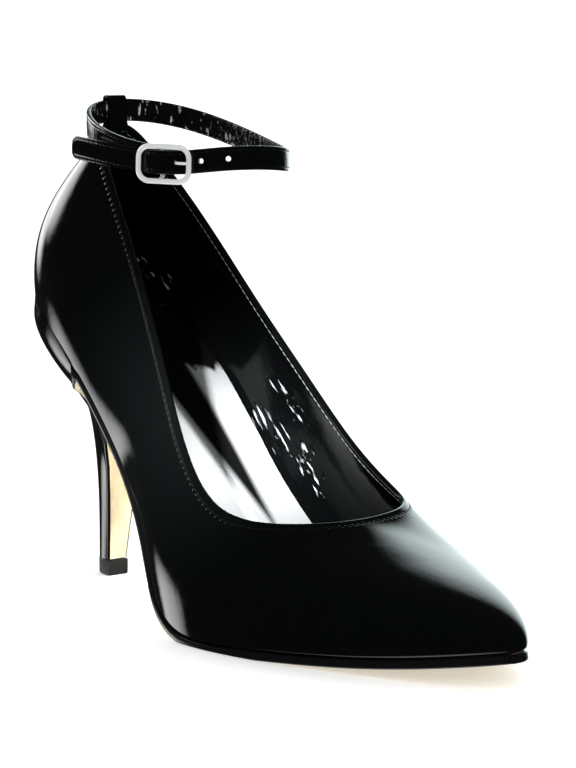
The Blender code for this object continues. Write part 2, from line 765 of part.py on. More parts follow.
def make_loop(shade):
    """A loop over the strap, its two ends lying on the inside and the outside of the back tab."""
    s = np.linspace(0.8, 1.0, 41)
    skin = upper_skin(np.array([0.99, 0.0, 0.01]), s)[1]
    from_top = np.linalg.norm(skin - skin[-1], axis=1)
    leg = skin[from_top <= LOOP_LEG]
    leg = leg[:: max(1, len(leg) // 3)]
    rise = leg[-1] - leg[0]
    rise /= np.linalg.norm(rise)
    leg = np.concatenate([leg, [leg[-1] + rise]])
    inward = np.array([rise[2], 0.0, -rise[0]])
    clear = GAP + 0.2 + LOOP_THICK / 2
    strap_middle = strap_centre(np.array([-180.0]), 0.0, 0.0)[0][2]
    strap_top = strap_middle + STRAP_WIDTH / 2 + GAP + LOOP_THICK / 2
    half_gap = STRAP_THICK / 2 + GAP + 0.1 + LOOP_THICK / 2
    x = strap_back(0.0)
    over = np.array(
        [
            (x - half_gap, 0.0, strap_middle - 2.6),
            (x - half_gap, 0.0, strap_top - 1.0),
            (x - half_gap + 0.5, 0.0, strap_top),
            (x + half_gap - 0.5, 0.0, strap_top),
            (x + half_gap, 0.0, strap_top - 1.0),
            (x + half_gap, 0.0, strap_middle - 2.6),
        ]
    )
    outer = leg - inward * clear
    inner = leg[::-1] + inward * (UPPER_WALL + clear)
    path = np.concatenate([outer, over, inner])
    part = [0] * (len(outer) - 2) + [1] * (len(over) + 2) + [2] * len(inner)
    along = np.gradient(path, axis=0)
    along /= np.linalg.norm(along, axis=1)[:, None]
    side = np.stack([-along[:, 2], 0 * along[:, 0], along[:, 0]], 1)
    across = np.linspace(-1, 1, 7) * LOOP_WIDTH / 2
    points = []
    for p, n, where in zip(path, side, part):
        for sign, order in ((1, across), (-1, across[::-1])):
            for y in order:
                bow = (y * y / (2 * TAB_OUTER_R), strap_back(y) - x, y * y / (2 * TAB_INNER_R))[where]
                points.append(p + n * sign * LOOP_THICK / 2 + np.array([bow, y, 0.0]))
    size = 2 * len(across)
    count = len(path)
    faces = [tuple(range(size)), tuple((count - 1) * size + j for j in range(size))[::-1]]
    for i in range(count - 1):
        for j in range(size):
            k = (j + 1) % size
            faces.append((i * size + j, (i + 1) * size + j, (i + 1) * size + k, i * size + k))
    return solid("strap_loop", points, faces, shade, 40.0)


patent = (0.012, 0.013, 0.014)
make_upper(material("upper patent", patent, 0.12))
make_insole(material("insole sock", (0.72, 0.74, 0.76), 0.25))
make_outsole(material("outsole leather", (0.62, 0.46, 0.27), 0.45))
make_heel(material("heel cover", patent, 0.12))
make_top_piece(material("top piece rubber", (0.02, 0.02, 0.02), 0.5))
make_loop(material("loop patent", patent, 0.15))
strap = make_strap(material("strap patent", patent, 0.15))
cut_holes(strap)
make_buckle(material("buckle chrome", (0.75, 0.76, 0.78), 0.12, 1.0))
make_prong(material("prong chrome", (0.75, 0.76, 0.78), 0.12, 1.0))
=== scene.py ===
"""Looks of the ankle strap pump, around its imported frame.

Sizes are in millimetres in the shoe's own frame until a mesh is made, which is in metres.
X runs from the heel to the toe, Y towards the big toe side, Z up. Zero is on the floor under
the back of the seat; BOX_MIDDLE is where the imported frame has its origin.
"""

import math

import bmesh
import bpy
import numpy as np
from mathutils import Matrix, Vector


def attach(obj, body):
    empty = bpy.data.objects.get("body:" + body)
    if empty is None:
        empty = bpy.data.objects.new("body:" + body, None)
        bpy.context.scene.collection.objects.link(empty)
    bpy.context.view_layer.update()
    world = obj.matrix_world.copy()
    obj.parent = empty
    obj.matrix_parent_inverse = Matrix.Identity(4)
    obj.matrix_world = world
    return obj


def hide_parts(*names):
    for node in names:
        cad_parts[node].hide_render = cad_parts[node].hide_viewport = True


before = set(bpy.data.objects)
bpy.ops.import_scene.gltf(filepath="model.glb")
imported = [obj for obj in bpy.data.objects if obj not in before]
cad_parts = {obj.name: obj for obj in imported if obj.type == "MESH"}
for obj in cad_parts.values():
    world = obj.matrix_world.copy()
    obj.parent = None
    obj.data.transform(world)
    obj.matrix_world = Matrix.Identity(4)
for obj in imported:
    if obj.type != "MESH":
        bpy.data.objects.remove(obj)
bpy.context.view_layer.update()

MM = 0.001
BOX_MIDDLE = np.array([109.2, -1.1, 0.0])

UPPER_WALL = 1.8
LINING_DEPTH = UPPER_WALL + 0.05
RIM_RISE = 0.8
GAP = 0.3
HEEL_TOP_GAP = 0.06
INSOLE_THICK = 2.0
SOLE_THICK_BALL = 2.5
SOLE_THICK_WAIST = 2.0
SOLE_OVERHANG = 0.3
BREAST_LEATHER = 1.5
TOP_PIECE_HEIGHT = 5.3
TOP_PIECE_MARGIN = 0.35
HEEL_FOOT_Z = TOP_PIECE_HEIGHT + GAP
SEAT_FLARE = 0.2

STRAP_WIDTH = 7.4
STRAP_THICK = 1.6
STRAP_HOLE_R = 0.8
STRAP_HOLE_PITCH = 8.3
FIRST_HOLE_FROM_BUCKLE = 4.1
STRAP_SEAM = STRAP_WIDTH / 2 - 1.15
SEAM_HALF = 0.45
STRAP_EDGE_R = 0.55
STRAP_END_TAPER = 2.6

LOOP_WIDTH = 7.6
LOOP_THICK = 0.9
LOOP_LEG = 4.0
TAB_OUTER_R = 8.6
TAB_INNER_R = 6.2

BUCKLE_LONG = 19.0
BUCKLE_TALL = 12.4
BUCKLE_CORNER = 3.6
WIRE_WIDE = 1.7
WIRE_THICK = 1.4
BAR_THICK = 1.4
PRONG_THICK = 0.9

BOTTOM_LINE = [
    # x,     z
    (-0.7, 97.2),
    (18.8, 92.3),
    (42.3, 79.0),
    (67.8, 50.7),
    (95.4, 18.6),
    (113.5, 0.4),
    (144.0, 2.6),
    (183.4, 4.2),
    (216.3, 9.2),
]

# along, lateral, medial, top_x, top_half, top_z, lift, lean, out, up, reach, drop
RIBS = [
    (-5.2, 0.0, 0.0, 23.4, 0.0, 152.4, 20.2, 2.5, 12.0, 4.4, 7.6, 10.0),
    (0.4, 16.6, 16.4, 25.2, 5.9, 152.7, 19.6, 1.8, 10.4, 3.6, 7.2, 10.4),
    (17.2, 26.9, 26.1, 31.2, 10.0, 145.4, 18.8, 1.6, 8.6, 2.5, 6.0, 11.2),
    (40.8, 30.0, 28.8, 43.8, 14.1, 132.4, 18.0, 1.9, 7.4, 1.5, 4.8, 11.8),
    (67.1, 29.3, 27.9, 59.6, 17.8, 114.8, 17.3, 1.9, 6.0, 0.7, 3.7, 12.1),
    (93.9, 28.8, 26.2, 76.7, 22.1, 93.6, 16.6, 2.0, 5.2, 0.4, 3.2, 12.2),
    (119.1, 33.3, 29.7, 94.6, 27.9, 72.0, 15.9, 2.2, 5.0, 0.4, 3.4, 11.7),
    (143.1, 41.6, 36.2, 110.9, 32.5, 52.4, 15.2, 2.6, 6.0, 0.8, 4.5, 11.0),
    (169.0, 42.5, 39.0, 126.9, 34.8, 41.4, 14.3, 3.0, 8.0, 1.6, 6.4, 10.1),
    (196.9, 34.8, 34.5, 139.9, 31.4, 38.4, 12.9, 3.0, 10.8, 2.2, 9.2, 9.1),
    (225.3, 23.8, 25.6, 147.3, 22.4, 37.8, 11.0, 3.0, 14.2, 2.2, 12.6, 8.5),
    (249.2, 12.4, 14.2, 150.7, 11.2, 37.4, 9.2, 2.4, 16.8, 1.8, 16.0, 8.3),
    (264.5, -2.2, 2.2, 151.9, 0.0, 37.3, 7.9, 2.3, 19.4, 1.4, 19.2, 8.4),
]

HEEL_CUTS = [
    # depth, back_x, front_x, half
    (0.00, -3.0, 44.0, 28.6),
    (0.06, -2.2, 40.4, 27.8),
    (0.14, -0.2, 37.4, 23.6),
    (0.25, 5.6, 34.3, 15.6),
    (0.40, 12.0, 31.2, 8.4),
    (0.62, 15.2, 27.8, 5.6),
    (0.82, 15.6, 26.0, 4.5),
    (1.00, 14.9, 24.2, 3.7),
]
# the leather's turn below the front of the seat, cut by cut from the second one
BREAST_TURN = [
    # stand, sag
    (0.5, 4.6),
    (0.5, 4.0),
    (1.7, 2.4),
    (1.3, 1.2),
    (0.3, 0.4),
]
BREAST_DEPTHS = (0.0, 0.03, 0.07, 0.12, 0.18, 0.25, 0.33, 0.42, 0.54, 0.68, 0.84, 0.998)

ANKLE_X = 61.4
ANKLE_Y = 2.4
ANKLE_HALF_LONG = 37.2
ANKLE_HALF_WIDE = 27.2
ANKLE_Z = 150.4
ANKLE_TILT = 0.184
STRAP_RUN = [
    # angle, stand_off, drop
    (-48.0, 0.0, 2.8),
    (-60.0, 0.0, 3.2),
    (-75.0, 0.0, 3.6),
    (-95.0, 0.0, 3.3),
    (-115.0, 0.0, 2.4),
    (-135.0, 0.0, 1.3),
    (-157.0, 0.0, 0.3),
    (-180.0, 0.0, 0.0),
    (-205.0, 0.0, 0.0),
    (-232.0, -0.4, 1.1),
    (-260.0, -0.7, 3.2),
    (-288.0, -0.5, 4.2),
    (-315.0, 0.9, 3.1),
    (-338.0, 4.0, 1.2),
    (-358.0, 6.5, -0.4),
    (-376.0, 5.9, -0.2),
    (-390.0, 4.2, 1.2),
    (-402.0, 3.0, 2.9),
    (-414.0, 2.9, 4.1),
    (-427.0, 2.9, 4.8),
    (-440.0, 3.2, 5.4),
    (-452.0, 3.9, 5.9),
    (-463.0, 5.0, 6.4),
    (-473.0, 6.5, 6.9),
]
BAR_RIDE = 5.0
BUCKLE_ANGLE = -413.5
BAR_ANGLE = -415.5
BAR_SET = 1.2
BAR_LIFT = 1.25
FRAME_DROP = 0.5

# the sole's edge from its upper line to its lower line: way between them, and inset
SOLE_EDGE = [
    (0.0, 3.0),
    (0.0, 0.5),
    (0.06, 0.12),
    (0.2, 0.0),
    (0.5, -0.06),
    (0.8, 0.02),
    (0.93, 0.18),
    (1.0, 0.6),
]

# the wearing tip from the floor up: height, and how far past its margin
TIP_LEVELS = [
    (0.0, -0.75),
    (0.12, -0.3),
    (0.4, -0.05),
    (0.9, 0.0),
    (TOP_PIECE_HEIGHT - 0.25, 0.0),
    (TOP_PIECE_HEIGHT, -0.15),
]

# the top line: its seam, and the distances below it at which the shell has points
STITCH_LINE = 2.1
STITCH_PITCH = 2.3
STITCH_SINK = 0.06
TOP_DISTANCES = np.concatenate([np.linspace(0.0, 3.2, 22), [3.7, 4.4, 5.2]])
SHELL_COLUMNS = 520
LINING_COLUMNS = 400

BLACK = (0.001, 0.0013, 0.0013)
LINING_BLACK = (0.001, 0.0012, 0.0013)

# places where the lining is creased, and where pale glints are painted along each crease
LINING_CREASES = [
    # x, y, z, reach
    (10.0, 20.0, 104.0, 5.0),
    (14.0, 22.0, 101.0, 4.5),
    (19.0, 24.0, 98.0, 4.5),
    (80.0, 27.0, 66.0, 9.0),
    (87.0, 28.0, 60.0, 7.0),
    (71.0, 26.0, 57.0, 7.0),
    (81.0, 27.0, 51.0, 9.0),
    (88.0, 29.0, 44.0, 9.0),
    (93.0, 31.0, 36.0, 7.0),
]

# the sock's painted shade, in black: under the heel, and a wedge that runs forward and narrows; it
# stands in for the walls' shadow and their dark mirror image in the silver
HEEL_SHADE_END = 50.0
SHADE_RAGGED = 4.5
WEDGE_MIDDLE = 5.4
WEDGE_DRIFT = 0.23
WEDGE_HALF = 7.4
WEDGE_TAPER = 0.16

FLOOR_HALF = 30.0

# the studio: what gloss mirrors is dark with soft windows, all else is lit white
STUDIO_WHITE = 1.15
STUDIO_DARK = 0.02
STUDIO_GLOWS = [
    # azimuth, elevation, inner, outer, colour, strength
    (130.0, 8.0, 11.0, 30.0, (0.86, 1.0, 1.0), 2.3),
    (177.0, 9.0, 2.0, 14.0, (1.0, 1.0, 1.0), 3.8),
    (188.0, 25.0, 3.0, 18.0, (1.0, 1.0, 1.0), 5.5),
    (198.0, -19.0, 3.0, 15.0, (1.0, 1.0, 1.0), 3.6),
    (0.0, -90.0, 12.0, 40.0, (1.0, 1.0, 1.0), 2.5),
]

# spots that shine past the walls on to the sock, a metre from where they aim
SHOE_LIGHTS = [
    # name, aim, azimuth, elevation, power, radius, half angle
    ("outer_side", (-0.033, 0.013, 0.050), -55.0, 23.0, 400.0, 0.03, 2.15),
    ("inner_side", (-0.030, 0.010, 0.048), 50.0, 49.0, 310.0, 0.03, 1.75),
]

# the camera: its place in metres, the way it looks, and its lens
CAMERA_PLACE = (0.6194, -0.4658, 0.1740)
CAMERA_FORWARD = (-0.78726, 0.60326, -0.12772)
CAMERA_LENS = 118.35


def add_node(tree, kind, inputs=None, **settings):
    """A shader node; inputs gives each socket, by name or number, its value or its source."""
    node = tree.nodes.new("ShaderNode" + kind)
    for name, value in settings.items():
        setattr(node, name, value)
    for key, value in (inputs or {}).items():
        if isinstance(value, bpy.types.NodeSocket):
            tree.links.new(value, node.inputs[key])
        else:
            node.inputs[key].default_value = value
    return node


def fresh_material(name, colour, roughness, metallic=0.0):
    made = bpy.data.materials.new(name)
    made.use_nodes = True
    shader = made.node_tree.nodes["Principled BSDF"]
    shader.inputs["Base Color"].default_value = (*colour, 1.0)
    shader.inputs["Roughness"].default_value = roughness
    shader.inputs["Metallic"].default_value = metallic
    return made, made.node_tree, shader


def object_noise(tree, scale, detail=2.0, stretch=(1.0, 1.0, 1.0), tilt=0.0):
    """Noise in the shoe's own space, in waves per metre.

    With a tilt in degrees it is drawn out along a slope of the shoe's side view.
    """
    where = add_node(tree, "TexCoord").outputs["Object"]
    if tilt:
        turn = (0.0, math.radians(tilt), 0.0)
        where = add_node(tree, "Mapping", {"Vector": where, "Rotation": turn}).outputs[0]
    drawn = add_node(tree, "Mapping", {"Vector": where, "Scale": stretch}).outputs[0]
    inputs = {"Vector": drawn, "Scale": scale, "Detail": detail}
    return add_node(tree, "TexNoise", inputs).outputs["Fac"]


def ramp(tree, value, stops):
    """A colour ramp; stops are (place, colour)."""
    node = add_node(tree, "ValToRGB", {"Fac": value})
    parts = node.color_ramp.elements
    while len(parts) < len(stops):
        parts.new(0.5)
    for part, (place, colour) in zip(parts, stops):
        part.position = place
        part.color = (*colour, 1.0)
    return node.outputs["Color"]


def grey(value):
    return (value, value, value)


def roughen(tree, shader, value, *stops):
    """Roughness that follows a value; stops are (place, roughness)."""
    stops = [(place, grey(rough)) for place, rough in stops]
    tree.links.new(ramp(tree, value, stops), shader.inputs["Roughness"])


def add_bump(tree, shader, layers):
    """Bumps one on another; layers are (height, distance in metres, strength)."""
    inputs = {}
    for height, distance, strength in layers:
        inputs.update(Height=height, Distance=distance, Strength=strength)
        inputs["Normal"] = add_node(tree, "Bump", inputs).outputs["Normal"]
    tree.links.new(inputs["Normal"], shader.inputs["Normal"])


def multiplied(tree, first, second):
    """Two colours multiplied."""
    inputs = {0: 1.0, 6: first, 7: second}
    node = add_node(tree, "Mix", inputs, data_type="RGBA", blend_type="MULTIPLY")
    return node.outputs[2]


def calculate(tree, operation, first, second):
    """A math node; each of the two inputs is a socket or a number."""
    return add_node(tree, "Math", {0: first, 1: second}, operation=operation).outputs[0]


def smooth_step(tree, value, low, high):
    """0 at low, 1 at high and a soft step between them."""
    inputs = {"Value": value, "From Min": low, "From Max": high}
    return add_node(tree, "MapRange", inputs, interpolation_type="SMOOTHSTEP").outputs["Result"]


def near_places(tree, places):
    """1 close to any of some places in the shoe, 0 past their reach."""
    where = add_node(tree, "TexCoord").outputs["Object"]
    total = None
    for x, y, z, reach in places:
        place = ((np.array([x, y, z]) - BOX_MIDDLE) * MM).tolist()
        gap = add_node(tree, "VectorMath", {0: where, 1: place}, operation="DISTANCE")
        near = smooth_step(tree, gap.outputs["Value"], reach * MM, 0.3 * reach * MM)
        total = calculate(tree, "MAXIMUM", total, near) if total else near
    return total


def patent_material(name, wave, wrinkle=0.0):
    """Black patent leather, gently uneven as on a last."""
    made, tree, shader = fresh_material(name, BLACK, 0.08)
    shader.inputs["IOR"].default_value = 1.42
    layers = [
        (object_noise(tree, 38.0, 1.0), 0.0012, wave),
        (object_noise(tree, 420.0, 2.0), 0.00006, 0.35),
    ]
    if wrinkle:
        layers.append((object_noise(tree, 900.0, 3.0, (1.0, 0.5, 0.35)), 0.0003, wrinkle))
    add_bump(tree, shader, layers)
    roughen(tree, shader, object_noise(tree, 260.0, 6.0), (0.35, 0.05), (0.75, 0.11))
    return made


def strap_lining_material():
    """The strap's inside: black and glossy, wrinkled across, with glints painted as pale flecks in
    the wrinkles.
    """
    made, tree, shader = fresh_material("strap lining", (0.002, 0.002, 0.0022), 0.12)
    layers = [
        (object_noise(tree, 500.0, 3.0, (1.0, 1.0, 0.4)), 0.0024, 1.0),
        (object_noise(tree, 1400.0, 2.0), 0.0002, 0.5),
    ]
    add_bump(tree, shader, layers)
    glint_noise = object_noise(tree, 620.0, 4.0, (1.0, 1.0, 0.35))
    # painted highlight: pale base colour stands in for glints on the wrinkles
    flecks = ramp(tree, glint_noise, [(0.6, grey(0.002)), (0.68, grey(0.5))])
    tree.links.new(flecks, shader.inputs["Base Color"])
    return made


def lining_material():
    """Black glossy lining, creased in a few places, with glints painted in pale base colour along
    each crease.
    """
    made, tree, shader = fresh_material("lining black", LINING_BLACK, 0.1)
    shader.inputs["IOR"].default_value = 1.24
    lines = object_noise(tree, 760.0, 3.0, (0.07, 1.0, 1.0), -48.0)
    lines = ramp(tree, lines, [(0.57, grey(0.0)), (0.67, grey(1.0))])
    crease_glint_mask = calculate(tree, "MULTIPLY", near_places(tree, LINING_CREASES), lines)
    layers = [
        (object_noise(tree, 70.0, 2.0, (1.0, 1.0, 0.6)), 0.0006, 0.4),
        (object_noise(tree, 520.0, 3.0), 0.0001, 0.4),
        (crease_glint_mask, 0.0012, 1.0),
    ]
    add_bump(tree, shader, layers)
    # painted highlight: pale base colour stands in for glints along each crease, not mirrored light
    glints = ramp(tree, crease_glint_mask, [(0.3, LINING_BLACK), (0.9, (0.4, 0.43, 0.44))])
    tree.links.new(glints, shader.inputs["Base Color"])
    return made


def sock_painted_shade(tree):
    """1 where shade is painted black on the sock, 0 on its silver, with ragged soft edges; lengths
    in mm.
    """
    where = add_node(tree, "SeparateXYZ", {0: add_node(tree, "TexCoord").outputs["Object"]})
    ahead = calculate(tree, "MULTIPLY", where.outputs[0], 1 / MM)
    ahead = calculate(tree, "ADD", ahead, float(BOX_MIDDLE[0]) - HEEL_SHADE_END)
    across = calculate(tree, "MULTIPLY", where.outputs[1], 1 / MM)
    across = calculate(tree, "ADD", across, float(BOX_MIDDLE[1]) - WEDGE_MIDDLE)
    ragged = object_noise(tree, 260.0, 4.0, (0.25, 1.0, 0.25))
    ragged = calculate(tree, "MULTIPLY", ragged, 2 * SHADE_RAGGED)
    ragged = calculate(tree, "SUBTRACT", ragged, SHADE_RAGGED)
    heel_shade = calculate(tree, "SUBTRACT", ragged, ahead)
    middle = calculate(tree, "MULTIPLY", ahead, WEDGE_DRIFT)
    aside = calculate(tree, "ABSOLUTE", calculate(tree, "SUBTRACT", across, middle), 0.0)
    taper = calculate(tree, "MULTIPLY", ahead, WEDGE_TAPER)
    half = calculate(tree, "SUBTRACT", WEDGE_HALF, taper)
    wedge = calculate(tree, "SUBTRACT", half, aside)
    return smooth_step(tree, calculate(tree, "MAXIMUM", heel_shade, wedge), -1.2, 1.6)


def sock_material():
    """Silvery coated sock lining with a fine grain and soft rubs; shade is painted black under the
    heel and in a wedge.
    """
    made, tree, shader = fresh_material("sock silver", (0.86, 0.88, 0.9), 0.15, metallic=0.78)
    tone = object_noise(tree, 70.0, 3.0)
    silver = ramp(tree, tone, [(0.3, (0.88, 0.93, 0.94)), (0.7, (0.95, 0.98, 0.98))])
    # painted shade: the walls' shadow and dark mirror image, as black base colour on the sock
    shade = ramp(tree, sock_painted_shade(tree), [(0.0, grey(1.0)), (1.0, grey(0.01))])
    tree.links.new(multiplied(tree, silver, shade), shader.inputs["Base Color"])
    roughen(tree, shader, object_noise(tree, 300.0, 4.0), (0.3, 0.1), (0.7, 0.18))
    add_bump(tree, shader, [(object_noise(tree, 1500.0, 2.0), 0.00005, 0.3)])
    return made


def tan_leather_material():
    """Smooth tan sole leather: long fibres, small flecks, a little shine."""
    made, tree, shader = fresh_material("sole tan", (0.62, 0.46, 0.27), 0.45)
    fibres = object_noise(tree, 260.0, 5.0, (0.6, 2.2, 0.25))
    flecks = object_noise(tree, 1100.0, 2.0)
    tan = ramp(tree, fibres, [(0.3, (0.54, 0.45, 0.28)), (0.7, (0.67, 0.58, 0.39))])
    shade = ramp(tree, flecks, [(0.3, grey(0.9)), (0.55, grey(1.0))])
    tree.links.new(multiplied(tree, tan, shade), shader.inputs["Base Color"])
    roughen(tree, shader, fibres, (0.3, 0.38), (0.7, 0.55))
    add_bump(tree, shader, [(flecks, 0.00008, 0.4)])
    return made


def edge_material():
    """Black edge dressing on cut leather: glossy, with fine lines along it."""
    made, tree, shader = fresh_material("edge black", (0.003, 0.003, 0.0032), 0.2)
    lines = object_noise(tree, 700.0, 2.0, (0.15, 0.15, 3.0))
    roughen(tree, shader, lines, (0.3, 0.14), (0.7, 0.26))
    add_bump(tree, shader, [(lines, 0.00004, 0.5)])
    return made


def rubber_material():
    made, tree, shader = fresh_material("tip black", (0.014, 0.014, 0.014), 0.5)
    grain = object_noise(tree, 1600.0, 3.0)
    roughen(tree, shader, grain, (0.3, 0.42), (0.7, 0.6))
    add_bump(tree, shader, [(grain, 0.00006, 0.5)])
    return made


def chrome_material():
    """Polished plated metal with the faintest wear."""
    made, tree, shader = fresh_material("buckle chrome", (0.93, 0.94, 0.95), 0.1, metallic=0.42)
    roughen(tree, shader, object_noise(tree, 900.0, 4.0), (0.4, 0.06), (0.8, 0.2))
    return made


def thread_material(name="thread black", colour=(0.004, 0.004, 0.0045)):
    made, tree, shader = fresh_material(name, colour, 0.25)
    twist = object_noise(tree, 3000.0, 1.0)
    add_bump(tree, shader, [(twist, 0.00005, 0.6)])
    return made


PATENT = patent_material("upper patent", 0.3)
HEEL_PATENT = patent_material("heel patent", 0.2)
STRAP_PATENT = patent_material("strap patent", 0.35, 0.35)
LINING = lining_material()
STRAP_LINING = strap_lining_material()
SOCK = sock_material()
SOLE_TAN = tan_leather_material()
EDGE = edge_material()
TIP = rubber_material()
CHROME = chrome_material()
THREAD = thread_material()
# the lining's stitch row is real; its pale grey is a painted highlight, standing in for the light
# line along the lining's seam
LINING_THREAD_HIGHLIGHT = thread_material("thread grey", (0.2, 0.21, 0.21))


def closed_mesh(name, points, faces):
    """A mesh with its faces pointing outwards, from points in the shoe's millimetres."""
    points = (np.asarray(points, float) - BOX_MIDDLE) * MM
    mesh = bpy.data.meshes.new(name)
    mesh.from_pydata(points.tolist(), [], [tuple(int(i) for i in face) for face in faces])
    mesh.validate()
    work = bmesh.new()
    work.from_mesh(mesh)
    bmesh.ops.recalc_face_normals(work, faces=work.faces)
    work.to_mesh(mesh)
    work.free()
    return mesh


def piece(name, points, faces, materials, slot, replaces=(), crease=50.0, face_material=None):
    """A visible piece that rides on the shoe; edges sharper than crease degrees stay sharp."""
    mesh = closed_mesh(name, points, faces)
    mesh.polygons.foreach_set("use_smooth", [True] * len(mesh.polygons))
    mesh.set_sharp_from_angle(angle=math.radians(crease))
    for material in materials:
        mesh.materials.append(material)
    if face_material is not None:
        mesh.polygons.foreach_set("material_index", [int(i) for i in face_material])
    body = bpy.data.objects.new(name, mesh)
    bpy.context.scene.collection.objects.link(body)
    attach(body, "root")
    if replaces:
        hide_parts(*replaces)
    return body


def grid_faces(rows, columns, close_rows=False, close_columns=False):
    """Faces of a grid whose points run column by column within each row."""
    i = np.arange(rows if close_rows else rows - 1)
    j = np.arange(columns if close_columns else columns - 1)
    i, j = np.meshgrid(i, j, indexing="ij")
    i, j = i.ravel(), j.ravel()
    ni, nj = (i + 1) % rows, (j + 1) % columns
    return np.stack([i * columns + j, ni * columns + j, ni * columns + nj, i * columns + nj], 1)


def cubic_shares(f):
    """Shares of four rows in a soft curve, at a place f from the second to the third."""
    shares = ((1 - f) ** 3, 3 * f**3 - 6 * f**2 + 4, -3 * f**3 + 3 * f**2 + 3 * f + 1, f**3)
    return [share / 6 for share in shares]


def loop_weights(t, count):
    """Cubic weights of each row around a closed run of rows, at places t from 0 to 1."""
    place = np.asarray(t, float) * count
    row = np.floor(place).astype(int)
    weights = np.zeros((len(place), count))
    for step, share in enumerate(cubic_shares(place - row)):
        np.add.at(weights, (np.arange(len(place)), (row - 1 + step) % count), share)
    return weights


def fair(rows, count):
    """A soft curve through an open run of rows, from the first to the last."""
    rows = np.asarray(rows, float)
    ends = np.vstack([2 * rows[0] - rows[1], rows, 2 * rows[-1] - rows[-2]])
    place = np.linspace(0, len(rows) - 1, count)
    row = np.minimum(place.astype(int), len(rows) - 2)
    shares = cubic_shares((place - row)[:, None])
    return sum(share * ends[row + step] for step, share in enumerate(shares))


def way_along(points):
    """Length run along a line of points, from its first."""
    return np.concatenate([[0.0], np.cumsum(np.linalg.norm(np.diff(points, axis=0), axis=1))])


def read_off(place, way, rows):
    """The row at each place, read off rows that lie along a way."""
    return np.stack([np.interp(place, way, column) for column in np.transpose(rows)], -1)


def unit(vectors):
    return vectors / np.linalg.norm(vectors, axis=-1, keepdims=True)


LINE = fair(BOTTOM_LINE, 400)
LINE_WAY = way_along(LINE)
LINE_DIRECTION = np.gradient(LINE, LINE_WAY, axis=0)


def on_line(way):
    """X and Z on the bottom line, carried on straight past its ends."""
    x = np.interp(way, LINE_WAY, LINE[:, 0])
    z = np.interp(way, LINE_WAY, LINE[:, 1])
    before = np.minimum(way, 0.0)
    after = np.maximum(way - LINE_WAY[-1], 0.0)
    x = x + before * LINE_DIRECTION[0, 0] + after * LINE_DIRECTION[-1, 0]
    z = z + before * LINE_DIRECTION[0, 1] + after * LINE_DIRECTION[-1, 1]
    return x, z


LINE_LONG_X, LINE_LONG_Z = on_line(np.linspace(-15.0, LINE_WAY[-1] + 15.0, 600))


def bottom_height(x):
    return np.interp(x, LINE_LONG_X, LINE_LONG_Z)


def bottom_normal(x):
    """The bottom line's upward normal at x, as X and Z."""
    slope = bottom_height(x + 0.5) - bottom_height(x - 0.5)
    size = np.hypot(slope, 1.0)
    return -slope / size, 1.0 / size


def rib_rows():
    """The ribs in order: back, lateral side, toe, medial side."""
    rows = []
    for side, order in ((-1, RIBS), (1, RIBS[-2:0:-1])):
        for rib in order:
            across = side * rib[1 if side < 0 else 2]
            rows.append((rib[0], across, rib[3], side * rib[4]) + rib[5:])
    return np.array(rows)


ROWS = rib_rows()


def bottom_edge(t):
    """The upper's bottom edge and its outward direction in plan, at places t around."""
    here = loop_weights(t, len(ROWS)) @ ROWS[:, :2]
    ahead = loop_weights((t + 1e-4) % 1.0, len(ROWS)) @ ROWS[:, :2]
    x, z = on_line(here[:, 0])
    step_x = on_line(ahead[:, 0])[0] - x
    step_y = ahead[:, 1] - here[:, 1]
    out = unit(np.stack([step_y, -step_x, 0 * x], 1))
    return np.stack([x, here[:, 1], z], 1), out


def upper_skin(t, s):
    """The upper's outside: ribs at places t around, from 0 at the bottom edge to 1 at the top."""
    mix = loop_weights(t, len(ROWS)) @ ROWS
    foot, out = bottom_edge(t)
    top = mix[:, 2:5]
    lift, lean, bulge, raised, reach, drop = (mix[:, i : i + 1] for i in range(5, 11))
    up = np.array([0.0, 0.0, 1.0])
    guides = (
        foot,
        foot + lift * up + lean * out,
        (foot + top) / 2 + bulge * out + raised * up,
        top + reach * out - drop * up,
        top,
    )
    s = np.asarray(s, float)[None, :, None]
    shares = ((1 - s) ** 4, 4 * s * (1 - s) ** 3, 6 * s**2 * (1 - s) ** 2, 4 * s**3 * (1 - s), s**4)
    return sum(share * guide[:, None] for share, guide in zip(shares, guides))


def skin_normals(grid):
    """Outward normals of a grid of ribs that closes around."""
    around = np.roll(grid, -1, 0) - np.roll(grid, 1, 0)
    normal = unit(np.cross(np.gradient(grid, axis=1), around))
    if normal[grid.shape[0] // 4, normal.shape[1] // 3, 1] > 0:
        normal = -normal
    return normal


def even_ribs(t, from_top, low_rows):
    """Ribs with points at set distances from the top line, then evenly down to the bottom edge.

    Returns the points from the top down, and their distance from the top line.
    """
    dense = upper_skin(t, np.linspace(1.0, 0.0, 160))
    points = []
    places = []
    for rib in dense:
        way = way_along(rib)
        low = np.linspace(from_top[-1], way[-1], low_rows + 1)[1:]
        place = np.concatenate([from_top, low])
        points.append(read_off(place, way, rib))
        places.append(place)
    return np.array(points), np.array(places)


def hump(value, middle, half_width):
    return np.exp(-(((value - middle) / half_width) ** 2))


def wall_way(outside, normal, t):
    """The way out through the wall at each point, turned level towards the feather edge."""
    foot, out = bottom_edge(t)
    s = np.linspace(1.0, 0.0, outside.shape[1])
    flat = np.clip(1 - s / 0.2, 0, 1)[None, :, None]
    return unit(flat * out[:, None] + (1 - flat) * normal)


